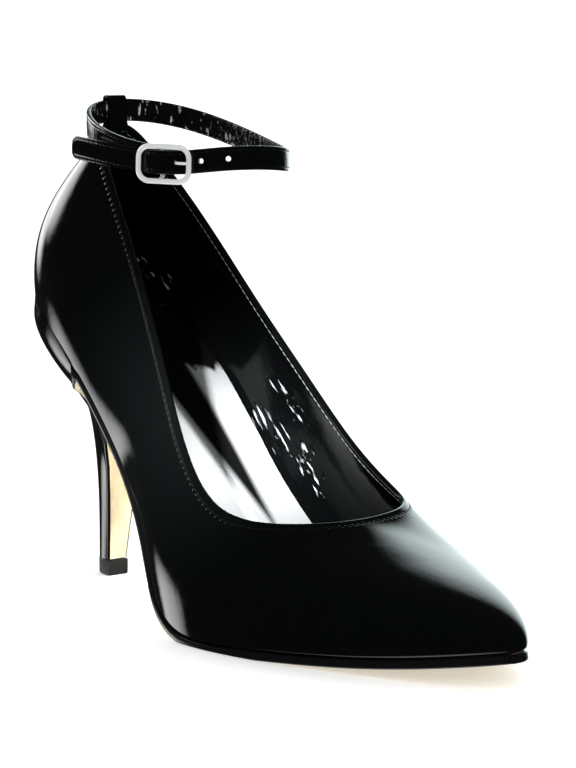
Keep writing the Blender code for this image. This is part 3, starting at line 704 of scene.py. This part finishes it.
def make_shell():
    """The patent outside, folded over the top line and turned under at the feather edge."""
    t = np.arange(SHELL_COLUMNS) / SHELL_COLUMNS
    outside, place = even_ribs(t, TOP_DISTANCES, 84)
    normal = skin_normals(outside)
    fold = 0.12 * np.clip((STITCH_LINE - 0.35 - place) / 0.5, 0, 1)
    groove = 0.14 * hump(place, STITCH_LINE, 0.32)
    height = place.max(1, keepdims=True) - place
    behind = np.clip((outside[:, -1:, 0] - 44.0) / 8.0, 0, 1)
    tuck = 0.55 * behind * np.clip(1 - height / 1.1, 0, 1) ** 2
    outside = outside + normal * (fold - groove - tuck)[:, :, None]
    rise = unit(outside[:, 0] - outside[:, 2])
    top_in = outside[:, 0] - normal[:, 0] * UPPER_WALL
    middle = (outside[:, 0] + top_in) / 2
    half = outside[:, 0] - middle
    rim = [
        middle + half * math.cos(angle) + rise * RIM_RISE * math.sin(angle)
        for angle in np.linspace(math.pi, 0, 9)[:-1]
    ]
    inner = [top_in - rise * depth for depth in (2.2, 1.4, 0.7)]
    columns = np.concatenate([np.array(inner), np.array(rim)], 0).transpose(1, 0, 2)
    profile = np.concatenate([columns, outside], 1)
    count, rows = profile.shape[:2]
    faces = grid_faces(count, rows, close_rows=True)
    return piece("upper_shell", profile.reshape(-1, 3), faces, [PATENT], "upper_patent", ["upper"])


def make_lining():
    """The inside of the wall, from just under the folded edge down to the sock."""
    t = np.arange(LINING_COLUMNS) / LINING_COLUMNS
    outside, place = even_ribs(t, np.linspace(0.9, 4.0, 14), 60)
    normal = skin_normals(outside)
    way = wall_way(outside, normal, t)
    inside = outside - LINING_DEPTH * way
    groove = 0.12 * hump(place, 2.3, 0.3)
    inside = inside + way * groove[:, :, None]
    inside[:, -1, 2] = bottom_height(inside[:, -1, 0]) + 0.1
    under = inside + way * 0.5
    profile = np.concatenate([inside, under[:, ::-1]], 1)
    count, rows = profile.shape[:2]
    faces = grid_faces(count, rows, close_rows=True, close_columns=True)
    return piece("lining", profile.reshape(-1, 3), faces, [LINING], "upper_patent")


def outline(inset, t):
    """Matching lateral and medial points of the bottom's outline, at places t from the back."""
    sides = []
    for around in (t, (1.0 - t) % 1.0):
        edge, out = bottom_edge(around)
        sides.append(edge - inset * out)
    return sides


def make_sock():
    """The sock: a thin padded sheet that rises a little where it meets the walls."""
    lateral, medial = outline(UPPER_WALL + 0.25, np.linspace(0.0, 0.5, 240))
    lateral, medial = lateral[2:-1], medial[2:-1]
    share = np.linspace(0.0, 1.0, 41)[None, :, None]
    rungs = lateral[:, None] * (1 - share) + medial[:, None] * share
    nx, nz = bottom_normal(rungs[..., 0])
    side = np.abs(share[..., 0] * 2 - 1)
    round_over = np.sqrt(np.clip(1 - np.clip((side - 0.965) / 0.035, 0, 1) ** 2, 0, 1))
    medial_side = np.clip((share[..., 0] - 0.55) / 0.42, 0, 1)
    arched = np.clip((rungs[..., 0] - 46.0) / 24.0, 0, 1)
    dish = 0.5 * side**4 + 3.4 * arched * medial_side**2
    height = (INSOLE_THICK - 0.9 + dish) * (0.35 + 0.65 * round_over)
    top = rungs.copy()
    top[..., 0] += nx * height
    top[..., 2] = bottom_height(rungs[..., 0]) + nz * height
    low = rungs.copy()
    low[..., 2] = bottom_height(rungs[..., 0])
    count, wide = top.shape[:2]
    points = np.concatenate([top.reshape(-1, 3), low.reshape(-1, 3)])
    upper = grid_faces(count, wide)
    lower = upper[:, ::-1] + count * wide
    rim = [i * wide for i in range(count)]
    rim += [(count - 1) * wide + j for j in range(1, wide)]
    rim += [i * wide + wide - 1 for i in range(count - 2, -1, -1)]
    rim += list(range(wide - 2, 0, -1))
    rim = np.array(rim)
    after = np.roll(rim, -1)
    sides = np.stack([rim, after, after + count * wide, rim + count * wide], 1)
    faces = np.concatenate([upper, lower, sides])
    return piece("sock", points, faces, [SOCK], "sock_lining", ["insole"])


HEEL_FAIR = fair(HEEL_CUTS, 300)


def heel_cut(depth):
    """Back, front and half width of the heel with its front leather at a depth."""
    return read_off(depth, HEEL_FAIR[:, 0], HEEL_FAIR[:, 1:])


def heel_ring(depth, front_inset, count):
    """A ring of the heel from its lateral front corner around the back to the medial one."""
    back, front, half = heel_cut(depth)
    front = front - front_inset
    angle = np.linspace(-math.pi / 2, math.pi / 2, count)
    square = 2.0 + 1.4 * max(0.0, 1.0 - depth / 0.2)
    x = front - (front - back) * np.abs(np.cos(angle)) ** (2 / square)
    y = half * np.sign(angle) * np.abs(np.sin(angle)) ** (2 / square)
    drawn = np.stack([x, y], 1)
    lateral, medial = outline(-SEAT_FLARE, np.linspace(0.0, 0.5, 200))
    seat = np.concatenate([lateral[::-1], medial[1:]])[:, :2]
    seat_front = heel_cut(0.0)[1] - front_inset
    seat = seat[seat[:, 0] < seat_front]
    way = way_along(seat)
    seat = read_off(np.linspace(0.0, way[-1], count), way, seat)
    seat[0, 0] = seat[-1, 0] = seat_front
    blend = min(1.0, depth / 0.14)
    blend = blend * blend * (3 - 2 * blend)
    plan = seat * (1 - blend) + drawn * blend
    top = bottom_height(seat[:, 0]) - HEEL_TOP_GAP
    z = top * (1 - depth) + HEEL_FOOT_Z * depth
    return np.concatenate([plan, z[:, None]], 1)


def ring_solid(rings):
    """Points and faces of a solid through rings, with flat ends fanned to their middles."""
    rings = np.asarray(rings)
    count, size = rings.shape[:2]
    points = np.concatenate([rings.reshape(-1, 3), rings[0].mean(0)[None], rings[-1].mean(0)[None]])
    faces = [tuple(f) for f in grid_faces(count, size, close_columns=True)]
    for row, middle in ((0, count * size), ((count - 1) * size, count * size + 1)):
        faces += [(row + j, row + (j + 1) % size, middle) for j in range(size)]
    return points, faces


def make_heel():
    """The covered heel: patent wrapped round the back, turned in at the front edges."""
    depths = np.concatenate([np.linspace(0.0, 0.25, 34), np.linspace(0.27, 1.0, 40)])
    count = 97
    rings = []
    for depth in depths:
        ring = heel_ring(depth, BREAST_LEATHER + 0.1, count)
        share = np.linspace(0, 1, 13)[1:-1, None]
        front = ring[-1] * (1 - share) + ring[0] * share
        rings.append(np.concatenate([ring, front]))
    points, faces = ring_solid(rings)
    return piece("heel_cover", points, faces, [HEEL_PATENT], "heel_cover", ["heel"], 60.0)


def make_tip():
    """The wearing tip, rounded at its foot."""
    ring = heel_ring(1.0, 0.0, 61)[:, :2]
    middle = ring.mean(0)
    away = unit(ring - middle)
    rings = [
        np.concatenate([ring + away * (TOP_PIECE_MARGIN + past), np.full((len(ring), 1), z)], 1)
        for z, past in TIP_LEVELS
    ]
    points, faces = ring_solid(rings)
    return piece("heel_tip", points, faces, [TIP], "heel_tip", ["top_piece"], 45.0)


def sole_stations():
    """Stations of the sole: its upper and lower line with half widths, from the toe to the tip."""
    seat_front = heel_cut(0.0)[1]
    t = np.concatenate([np.linspace(0.4985, 0.44, 60), np.linspace(0.4385, 0.0, 420)])
    lateral, medial = outline(-SOLE_OVERHANG, t)
    keep = (lateral[:, 0] + medial[:, 0]) / 2 > seat_front + 3.0
    lateral, medial = lateral[keep], medial[keep]
    x = (lateral[:, 0] + medial[:, 0]) / 2
    nx, nz = bottom_normal(x)
    z = bottom_height(x)
    waist = np.clip((115.0 - x) / 20.0, 0, 1)
    thick = SOLE_THICK_BALL * (1 - waist) + SOLE_THICK_WAIST * waist
    over = np.stack([x - 0.15 * nx, z - 0.15 * nz], 1)
    under = np.stack([x - (GAP + thick) * nx, np.maximum(0.0, z - (GAP + thick) * nz)], 1)
    halves = np.abs(np.stack([lateral[:, 1], medial[:, 1]], 1))
    down = []
    for k, depth in enumerate(BREAST_DEPTHS[1:], 1):
        corner = heel_ring(depth, BREAST_LEATHER, 25)[0]
        stand, sag = BREAST_TURN[k - 1] if k <= len(BREAST_TURN) else (0.0, 0.0)
        share = min(1.0, k / 3)
        half = abs(corner[1]) * share + halves[-1] * (1 - share)
        outside = corner[0] + BREAST_LEATHER + stand
        down.append((corner[0], corner[2], outside, corner[2] - sag, half[0], half[1]))
    down = np.array(down)
    flat = np.concatenate([over, under, halves], 1)
    return flat, down


def sole_section():
    """Around the sole: the run of the section, its way down and its inset or place across."""
    places = np.linspace(-1, 1, 23)[1:-1]
    section = [("left", way, inset) for way, inset in SOLE_EDGE]
    section += [("low", 1.0, place) for place in places]
    section += [("right", way, inset) for way, inset in SOLE_EDGE[::-1]]
    section += [("high", 0.0, place) for place in places[::-1]]
    return section


def sole_across(run, value, halves):
    """Y along the sole of one point of its section."""
    if run == "left":
        y = value - halves[:, 0]
    elif run == "right":
        y = halves[:, 1] - value
    else:
        inset = SOLE_EDGE[-1][1] if run == "low" else SOLE_EDGE[0][1]
        left, right = inset - halves[:, 0], halves[:, 1] - inset
        y = left + (right - left) * (value + 1) / 2
    narrow = halves.min(1) < SOLE_EDGE[0][1] + 0.2
    return np.where(narrow, np.clip(y, -halves[:, 0], halves[:, 1]), y)


def make_sole():
    """Tan leather with a black edge, from the toe up the shank and down the heel's front."""
    flat, down = sole_stations()
    join = np.vstack([flat[-1], down])
    fine = np.linspace(0, len(join) - 1, 150)[1:]
    rows = np.vstack([flat, read_off(fine, np.arange(len(join)), join)])
    over, under, halves = rows[:, 0:2], rows[:, 2:4], rows[:, 4:6]
    section = sole_section()
    columns = []
    for run, way, value in section:
        line = over * (1 - way) + under * way
        columns.append(np.stack([line[:, 0], sole_across(run, value, halves), line[:, 1]], 1))
    rings = np.array(columns).transpose(1, 0, 2)
    points, faces = ring_solid(rings)
    size = len(section)
    on_edge = np.array([run in ("left", "right") for run, way, value in section])
    body = grid_faces(len(rings), size, close_columns=True)
    marks = np.zeros(len(faces), int)
    marks[: len(body)] = ~(on_edge[body[:, 0] % size] & on_edge[body[:, 3] % size])
    leathers = [EDGE, SOLE_TAN]
    return piece("sole", points, faces, leathers, "sole_leather", ["outsole"], 50.0, marks)


def strap_centre(angles, stand_off, drop):
    """Middle of the strap at angles in degrees."""
    turn = np.radians(angles)
    x = ANKLE_X + (ANKLE_HALF_LONG + stand_off) * np.cos(turn)
    y = ANKLE_Y + (ANKLE_HALF_WIDE + stand_off) * np.sin(turn)
    z = ANKLE_Z - ANKLE_TILT * ANKLE_HALF_LONG * np.cos(turn) - drop
    return np.stack([x, y, z], 1)


def strap_path(count):
    """The strap's run, middle line and its directions along, outwards and up."""
    run = fair(STRAP_RUN, count)
    centre = strap_centre(run[:, 0], run[:, 1], run[:, 2])
    bar = np.exp(-(((run[:, 0] - BAR_ANGLE) / BAR_RIDE) ** 2))
    along = unit(np.gradient(centre, axis=0))
    up = unit(np.array([0.0, 0.0, 1.0]) - along * along[:, 2:3])
    out = np.cross(along, up)
    away = centre[:, :2] - (ANKLE_X, ANKLE_Y)
    out = out * np.sign((out[:, :2] * away).sum(1))[:, None]
    centre = centre + out * (BAR_LIFT * bar)[:, None]
    return run, centre, along, out, up


def strap_section():
    """Across the strap: its folded edges are round, its faces a little full between the seams."""
    half_wide, half_thick = STRAP_WIDTH / 2, STRAP_THICK / 2
    wide, thick = half_wide - STRAP_EDGE_R, half_thick - STRAP_EDGE_R
    face = face_points(wide, half_thick)
    half = []
    for side, start in ((1, 0), (-1, 90)):
        for angle in np.radians(np.linspace(start, start + 90, 5)):
            across = side * wide + STRAP_EDGE_R * math.cos(angle)
            half.append((across, thick + STRAP_EDGE_R * math.sin(angle)))
        if side == 1:
            half += face
    return half + [(-across, -away) for across, away in half]


def face_points(reach, height):
    """Points across a face of the strap, from + to -, dipping at the two seams."""
    edge = STRAP_SEAM - SEAM_HALF
    outer = np.linspace(reach, edge, 8)
    places = np.concatenate([outer, np.linspace(edge, -edge, 11)[1:], -outer[::-1][1:]])[1:-1]
    full = [0.06 * hump(u, 0, 1.5) - 0.13 * hump(abs(u), STRAP_SEAM, 0.25) for u in places]
    return [(u, height + rise) for u, rise in zip(places, full)]


def make_strap():
    """The strap in patent with its lining, blunt at its end, with three round holes."""
    run, centre, along, out, up = strap_path(780)
    section = np.array(strap_section())
    way = way_along(centre)
    to_end = way[-1] - way
    narrow = 1.0 - 0.42 * np.clip(1 - to_end / STRAP_END_TAPER, 0, 1) ** 2.2
    rings = (
        centre[:, None]
        + up[:, None] * (section[None, :, :1] * narrow[:, None, None])
        + out[:, None] * section[None, :, 1:]
    )
    points, faces = ring_solid(rings)
    inside = section[:, 1] < -0.6 * STRAP_THICK / 2
    marks = np.zeros(len(faces), int)
    across = np.tile(inside & np.roll(inside, -1), len(centre) - 1)
    marks[: len(across)] = across
    leathers = [STRAP_PATENT, STRAP_LINING]
    strap = piece("strap", points, faces, leathers, "strap_patent", ["ankle_strap"], 50.0, marks)
    start = np.interp(-BUCKLE_ANGLE, -run[:, 0], way) - FIRST_HOLE_FROM_BUCKLE
    angle = np.arange(24)[:, None] * math.pi / 12
    for number in range(3):
        i = int(np.argmin(np.abs(way - (start - number * STRAP_HOLE_PITCH))))
        ring = STRAP_HOLE_R * (along[i] * np.cos(angle) + up[i] * np.sin(angle))
        cut_hole(strap, [centre[i] + out[i] * away + ring for away in (-1.3, 3.0)])
    return strap


def cut_hole(strap, rings):
    """Cuts a round hole through the strap and keeps the result as its mesh."""
    cutter = bpy.data.objects.new("hole", closed_mesh("hole", *ring_solid(rings)))
    bpy.context.scene.collection.objects.link(cutter)
    cut = strap.modifiers.new("hole", "BOOLEAN")
    cut.operation = "DIFFERENCE"
    cut.solver = "EXACT"
    cut.object = cutter
    bpy.context.view_layer.update()
    made = strap.evaluated_get(bpy.context.evaluated_depsgraph_get())
    result = bpy.data.meshes.new_from_object(made)
    strap.modifiers.clear()
    strap.data = result
    bpy.data.objects.remove(cutter)


def buckle_axes():
    """The buckle's middle, its direction towards the strap's end, outwards and up."""
    run, centre, along, out, up = strap_path(600)
    i = int(np.argmin(np.abs(run[:, 0] - BUCKLE_ANGLE)))
    lift = BAR_LIFT * math.exp(-(((run[i, 0] - BAR_ANGLE) / BAR_RIDE) ** 2))
    return centre[i] - out[i] * lift, along[i], out[i], up[i]


def tube(path, face, wide, thick, sides, closed):
    """Points and faces of a round tube along a path; face is the way its thickness points."""
    path = np.asarray(path, float)
    along = np.roll(path, -1, 0) - np.roll(path, 1, 0) if closed else np.gradient(path, axis=0)
    side = unit(np.cross(unit(along), face))
    other = np.cross(side, unit(along))
    angle = (np.arange(sides) + 0.5) * 2 * math.pi / sides
    rings = (
        path[:, None]
        + side[:, None] * np.cos(angle)[None, :, None] * wide / 2
        + other[:, None] * np.sin(angle)[None, :, None] * thick / 2
    )
    if closed:
        faces = grid_faces(len(path), sides, close_rows=True, close_columns=True)
        return rings.reshape(-1, 3), list(faces)
    return ring_solid(rings)


def merged(parts):
    """One set of points and faces from several."""
    points, faces, start = [], [], 0
    for part_points, part_faces in parts:
        points.append(np.asarray(part_points))
        faces += [tuple(int(i) + start for i in f) for f in part_faces]
        start += len(part_points)
    return np.concatenate(points), faces


def make_buckle():
    """The frame, round at its corners, and the bar that the strap rides over."""
    middle, along, out, up = buckle_axes()
    half_long = (BUCKLE_LONG - WIRE_WIDE) / 2
    half_tall = (BUCKLE_TALL - WIRE_WIDE) / 2
    stand = 1.15
    path = []
    corners = ((1, 1, 0), (-1, 1, 90), (-1, -1, 180), (1, -1, 270))
    for cx, cy, start in corners:
        for angle in np.radians(np.linspace(start, start + 90, 16)):
            u = cx * (half_long - BUCKLE_CORNER) + BUCKLE_CORNER * math.cos(angle)
            v = cy * (half_tall - BUCKLE_CORNER) + BUCKLE_CORNER * math.sin(angle)
            path.append(middle + along * u + up * (v - FRAME_DROP) + out * stand)
    ring = tube(path, out, WIRE_WIDE, WIRE_THICK, 20, True)
    low = -0.6
    bar_line = [
        (half_tall + 0.1, stand + 0.05),
        (half_tall - 0.7, 0.4),
        (half_tall - 1.45, low),
        (0.0, low),
        (1.45 - half_tall, low),
        (0.7 - half_tall, 0.4),
        (-half_tall - 0.1, stand + 0.05),
    ]
    start = middle + along * BAR_SET
    bar_path = [start + up * (v - FRAME_DROP) + out * n for v, n in bar_line]
    bar = tube(bar_path, along, BAR_THICK, BAR_THICK * 0.86, 16, False)
    points, faces = merged([ring, bar])
    return piece("buckle", points, faces, [CHROME], "buckle_metal", ["buckle_frame"], 60.0)


def make_prong():
    """The prong from the bar through the strap to the frame's far side."""
    middle, along, out, up = buckle_axes()
    half_long = (BUCKLE_LONG - WIRE_WIDE) / 2
    run = fair(
        [
            (0.2, -0.95),
            (-1.2, -1.25),
            (-2.5, -1.45),
            (-3.4, -1.2),
            (-4.0, 0.2),
            (-4.6, 1.9),
            (-5.9, 2.65),
            (-7.6, 2.85),
            (-half_long - 0.4, 2.75),
        ],
        48,
    )
    path = [middle + along * u + out * n for u, n in run]
    points, faces = tube(path, up, PRONG_THICK * 1.25, PRONG_THICK, 16, False)
    return piece("prong", points, faces, [CHROME], "buckle_metal", ["buckle_prong"], 50.0)


def strap_back(y):
    """X of the strap's middle where it goes behind the heel."""
    return ANKLE_X - ANKLE_HALF_LONG * np.sqrt(1 - ((y - ANKLE_Y) / ANKLE_HALF_WIDE) ** 2)


def make_loop():
    """The loop over the strap, its two ends on the inside and the outside of the back tab."""
    s = np.linspace(0.8, 1.0, 41)
    skin = upper_skin(np.array([0.99, 0.0, 0.01]), s)[1]
    from_top = np.linalg.norm(skin - skin[-1], axis=1)
    leg = skin[from_top <= LOOP_LEG]
    leg = leg[:: max(1, len(leg) // 3)]
    rise = unit(leg[-1] - leg[0])
    leg = np.concatenate([leg, [leg[-1] + rise]])
    inward = np.array([rise[2], 0.0, -rise[0]])
    clear = GAP + 0.2 + LOOP_THICK / 2
    strap_middle = strap_centre(np.array([-180.0]), 0.0, 0.0)[0][2]
    strap_top = strap_middle + STRAP_WIDTH / 2 + GAP + LOOP_THICK / 2
    half_gap = STRAP_THICK / 2 + GAP + 0.1 + LOOP_THICK / 2
    x = strap_back(0.0)
    over = np.array(
        [
            (x - half_gap, 0.0, strap_middle - 2.6),
            (x - half_gap, 0.0, strap_top - 1.0),
            (x - half_gap + 0.5, 0.0, strap_top),
            (x + half_gap - 0.5, 0.0, strap_top),
            (x + half_gap, 0.0, strap_top - 1.0),
            (x + half_gap, 0.0, strap_middle - 2.6),
        ]
    )
    outer = leg - inward * clear
    inner = leg[::-1] + inward * (UPPER_WALL + clear)
    rough = np.concatenate([outer, over, inner])
    zone = np.array([0.0] * (len(outer) - 2) + [1.0] * (len(over) + 2) + [2.0] * len(inner))
    way = way_along(rough)
    fine = np.linspace(0, way[-1], 120)
    path = smoothed(read_off(fine, way, rough), 3)
    zone = np.interp(fine, way, zone)
    along = unit(np.gradient(path, axis=0))
    side = np.stack([-along[:, 2], 0 * along[:, 0], along[:, 0]], 1)
    half = LOOP_WIDTH / 2
    places = [np.linspace(-1, -0.9, 4), np.linspace(-0.8, 0.8, 13), np.linspace(0.9, 1, 4)]
    across = half * np.concatenate(places)
    edge = np.clip((half - np.abs(across)) / 0.35, 0, 1)
    thick = LOOP_THICK / 2 * (0.45 + 0.55 * np.sqrt(np.clip(1 - (1 - edge) ** 2, 0, 1)))
    rings = []
    bows = [across**2 / (2 * TAB_OUTER_R), strap_back(across) - x, across**2 / (2 * TAB_INNER_R)]
    for place, normal, where in zip(path, side, zone):
        k = min(int(where), 1)
        bow = bows[k] * (1 - (where - k)) + bows[k + 1] * (where - k)
        line = place + np.stack([bow, across, 0 * across], 1)
        face = normal * thick[:, None]
        rings.append(np.concatenate([line + face, (line - face)[::-1]]))
    points, faces = ring_solid(rings)
    return piece("keeper_loop", points, faces, [STRAP_PATENT], "strap_patent", ["strap_loop"], 45.0)


def smoothed(path, times):
    for _ in range(times):
        path = path.copy()
        path[1:-1] = (path[:-2] + 2 * path[1:-1] + path[2:]) / 4
    return path


def stitch_shape(sides=6, rings=5):
    """A short thread, round and pointed at both ends, along X and one unit long."""
    x = np.linspace(-0.5, 0.5, rings)
    radius = np.sqrt(np.clip(1 - (2 * x) ** 4, 0.08, 1))
    angle = np.arange(sides) * 2 * math.pi / sides
    ring = np.stack([0 * angle, np.cos(angle), np.sin(angle)], 1)
    return ring_solid([np.array([a, 0, 0]) + ring * r for a, r in zip(x, radius)])


def stitch_row(line, normal, pitch, length, thick, sink):
    """Threads laid one after another along a line, pressed into its surface."""
    way = way_along(line)
    shape, shape_faces = stitch_shape()
    parts = []
    for place in np.arange(pitch / 2, way[-1] - pitch / 2, pitch):
        centre = read_off(place, way, line)
        face = unit(read_off(place, way, normal))
        ahead = unit(read_off(place + 0.2, way, line) - centre)
        axes = np.stack([ahead * length, np.cross(face, ahead) * thick / 2, face * thick / 2])
        parts.append((centre - face * sink + shape @ axes, shape_faces))
    return parts


def top_band(ends, half):
    """Three lines along the top line's seam, half apart, between two places around."""
    t = np.linspace(ends, 1 - ends, 900)
    return t, even_ribs(t, STITCH_LINE + half * np.array([-1, 0, 1]), 2)[0]


def band_normals(ribs):
    """Outward normals along the middle of a band."""
    normal = unit(np.cross(np.gradient(ribs[:, 1], axis=0), ribs[:, 2] - ribs[:, 0]))
    return -normal if normal[len(ribs) // 4, 1] > 0 else normal


def make_top_stitches():
    """The row of stitches that holds the fold of the top line."""
    t, ribs = top_band(0.012, 0.4)
    row = stitch_row(ribs[:, 1], band_normals(ribs), STITCH_PITCH, 1.75, 0.42, STITCH_SINK)
    return piece("top_line_stitches", *merged(row), [THREAD], "upper_patent", crease=60.0)


def make_lining_stitches():
    """The same row of stitches where it comes out on the lining, its pale grey a painted highlight
    line along the seam.
    """
    t, ribs = top_band(0.03, 0.4)
    way = wall_way(ribs, skin_normals(ribs), t)[:, 1]
    line = ribs[:, 1] - LINING_DEPTH * way
    row = stitch_row(line, -way, STITCH_PITCH, 1.9, 0.36, STITCH_SINK)
    return piece("lining_stitches", *merged(row), [LINING_THREAD_HIGHLIGHT], "upper_patent", crease=60.0)


def make_top_puckers():
    """Small swellings of the leather between the stitches of the top line."""
    t, ribs = top_band(0.012, 0.75)
    parts = []
    for side in (0, 2):
        parts += stitch_row(ribs[:, side], band_normals(ribs), STITCH_PITCH, 2.2, 1.3, 0.52)
    return piece("top_line_puckers", *merged(parts), [PATENT], "upper_patent", crease=80.0)


def make_strap_stitches():
    """Two rows of stitches along the strap, seen on both of its faces."""
    run, centre, along, out, up = strap_path(600)
    keep = way_along(centre)[-1] - way_along(centre) > 2.4
    parts = []
    for face in (1, -1):
        for side in (1, -1):
            line = centre + up * side * STRAP_SEAM + out * face * (STRAP_THICK / 2 - 0.12)
            parts += stitch_row(line[keep], (out * face)[keep], 1.75, 1.3, 0.34, 0.0)
    return piece("strap_stitches", *merged(parts), [THREAD], "strap_patent", crease=60.0)


def make_floor():
    """A plain pale floor, lit a little from within."""
    far = FLOOR_HALF
    corners = [(-far, -far, 0), (far, -far, 0), (far, far, 0), (-far, far, 0)]
    mesh = bpy.data.meshes.new("floor")
    mesh.from_pydata(corners, [], [(0, 1, 2, 3)])
    floor = bpy.data.objects.new("floor", mesh)
    bpy.context.scene.collection.objects.link(floor)
    made, tree, shader = fresh_material("floor pale", (0.93, 0.93, 0.93), 0.6)
    shader.inputs["Emission Color"].default_value = (1.0, 1.0, 1.0, 1.0)
    shader.inputs["Emission Strength"].default_value = 0.3
    mesh.materials.append(made)
    floor.visible_glossy = False


def window_glow(tree, direction, towards, inner, outer, colour, strength):
    """Light from around one direction: full inside the inner angle, none past the outer one."""
    inputs = {0: direction, 1: Vector(towards).normalized()}
    dot = add_node(tree, "VectorMath", inputs, operation="DOT_PRODUCT").outputs["Value"]
    low, high = (math.cos(math.radians(angle)) for angle in (outer, inner))
    full = tuple(part * strength for part in colour)
    inputs = {0: full, "Scale": smooth_step(tree, dot, low, high)}
    return add_node(tree, "VectorMath", inputs, operation="SCALE").outputs["Vector"]


def heading(azimuth, elevation):
    """A direction from two angles in degrees."""
    a, e = math.radians(azimuth), math.radians(elevation)
    return (math.cos(a) * math.cos(e), math.sin(a) * math.cos(e), math.sin(e))


def make_world():
    """White for the camera and for soft light; what gloss mirrors is dark with soft windows."""
    world = bpy.data.worlds.new("studio")
    bpy.context.scene.world = world
    world.use_nodes = True
    tree = world.node_tree
    tree.nodes.clear()
    direction = add_node(tree, "TexCoord").outputs["Generated"]
    total = grey(STUDIO_DARK)
    for azimuth, elevation, *window in STUDIO_GLOWS:
        light = window_glow(tree, direction, heading(azimuth, elevation), *window)
        total = add_node(tree, "VectorMath", {0: total, 1: light}).outputs["Vector"]
    mirrored = add_node(tree, "Background", {"Color": total})
    plain = add_node(tree, "Background", {"Color": (1, 1, 1, 1), "Strength": STUDIO_WHITE})
    glossy = add_node(tree, "LightPath").outputs["Is Glossy Ray"]
    inputs = {0: glossy, 1: plain.outputs[0], 2: mirrored.outputs[0]}
    mix = add_node(tree, "MixShader", inputs)
    tree.links.new(mix.outputs[0], tree.nodes.new("ShaderNodeOutputWorld").inputs["Surface"])


def make_spot(name, aim, azimuth, elevation, power, radius, half_angle):
    data = bpy.data.lights.new(name, "SPOT")
    data.energy = power
    data.spot_size = math.radians(2 * half_angle)
    data.spot_blend = 0.45
    data.shadow_soft_size = radius
    light = bpy.data.objects.new(name, data)
    towards = Vector(heading(azimuth, elevation))
    light.location = Vector(aim) + towards
    light.rotation_euler = towards.to_track_quat("Z", "Y").to_euler()
    light.visible_glossy = False
    bpy.context.scene.collection.objects.link(light)


def make_camera():
    data = bpy.data.cameras.new("camera")
    data.lens = CAMERA_LENS
    data.sensor_width = 36.0
    data.clip_start, data.clip_end = 0.05, 100.0
    camera = bpy.data.objects.new("camera", data)
    camera.location = CAMERA_PLACE
    camera.rotation_euler = Vector(CAMERA_FORWARD).to_track_quat("-Z", "Y").to_euler()
    bpy.context.scene.collection.objects.link(camera)
    bpy.context.scene.camera = camera


make_camera()
make_world()
make_floor()
for lamp in SHOE_LIGHTS:
    make_spot(*lamp)
make_shell()
make_lining()
make_sock()
make_heel()
make_tip()
make_sole()
make_strap()
make_buckle()
make_prong()
make_loop()
make_top_stitches()
make_lining_stitches()
make_strap_stitches()
make_top_puckers()
bpy.context.scene.view_settings.view_transform = "Standard"
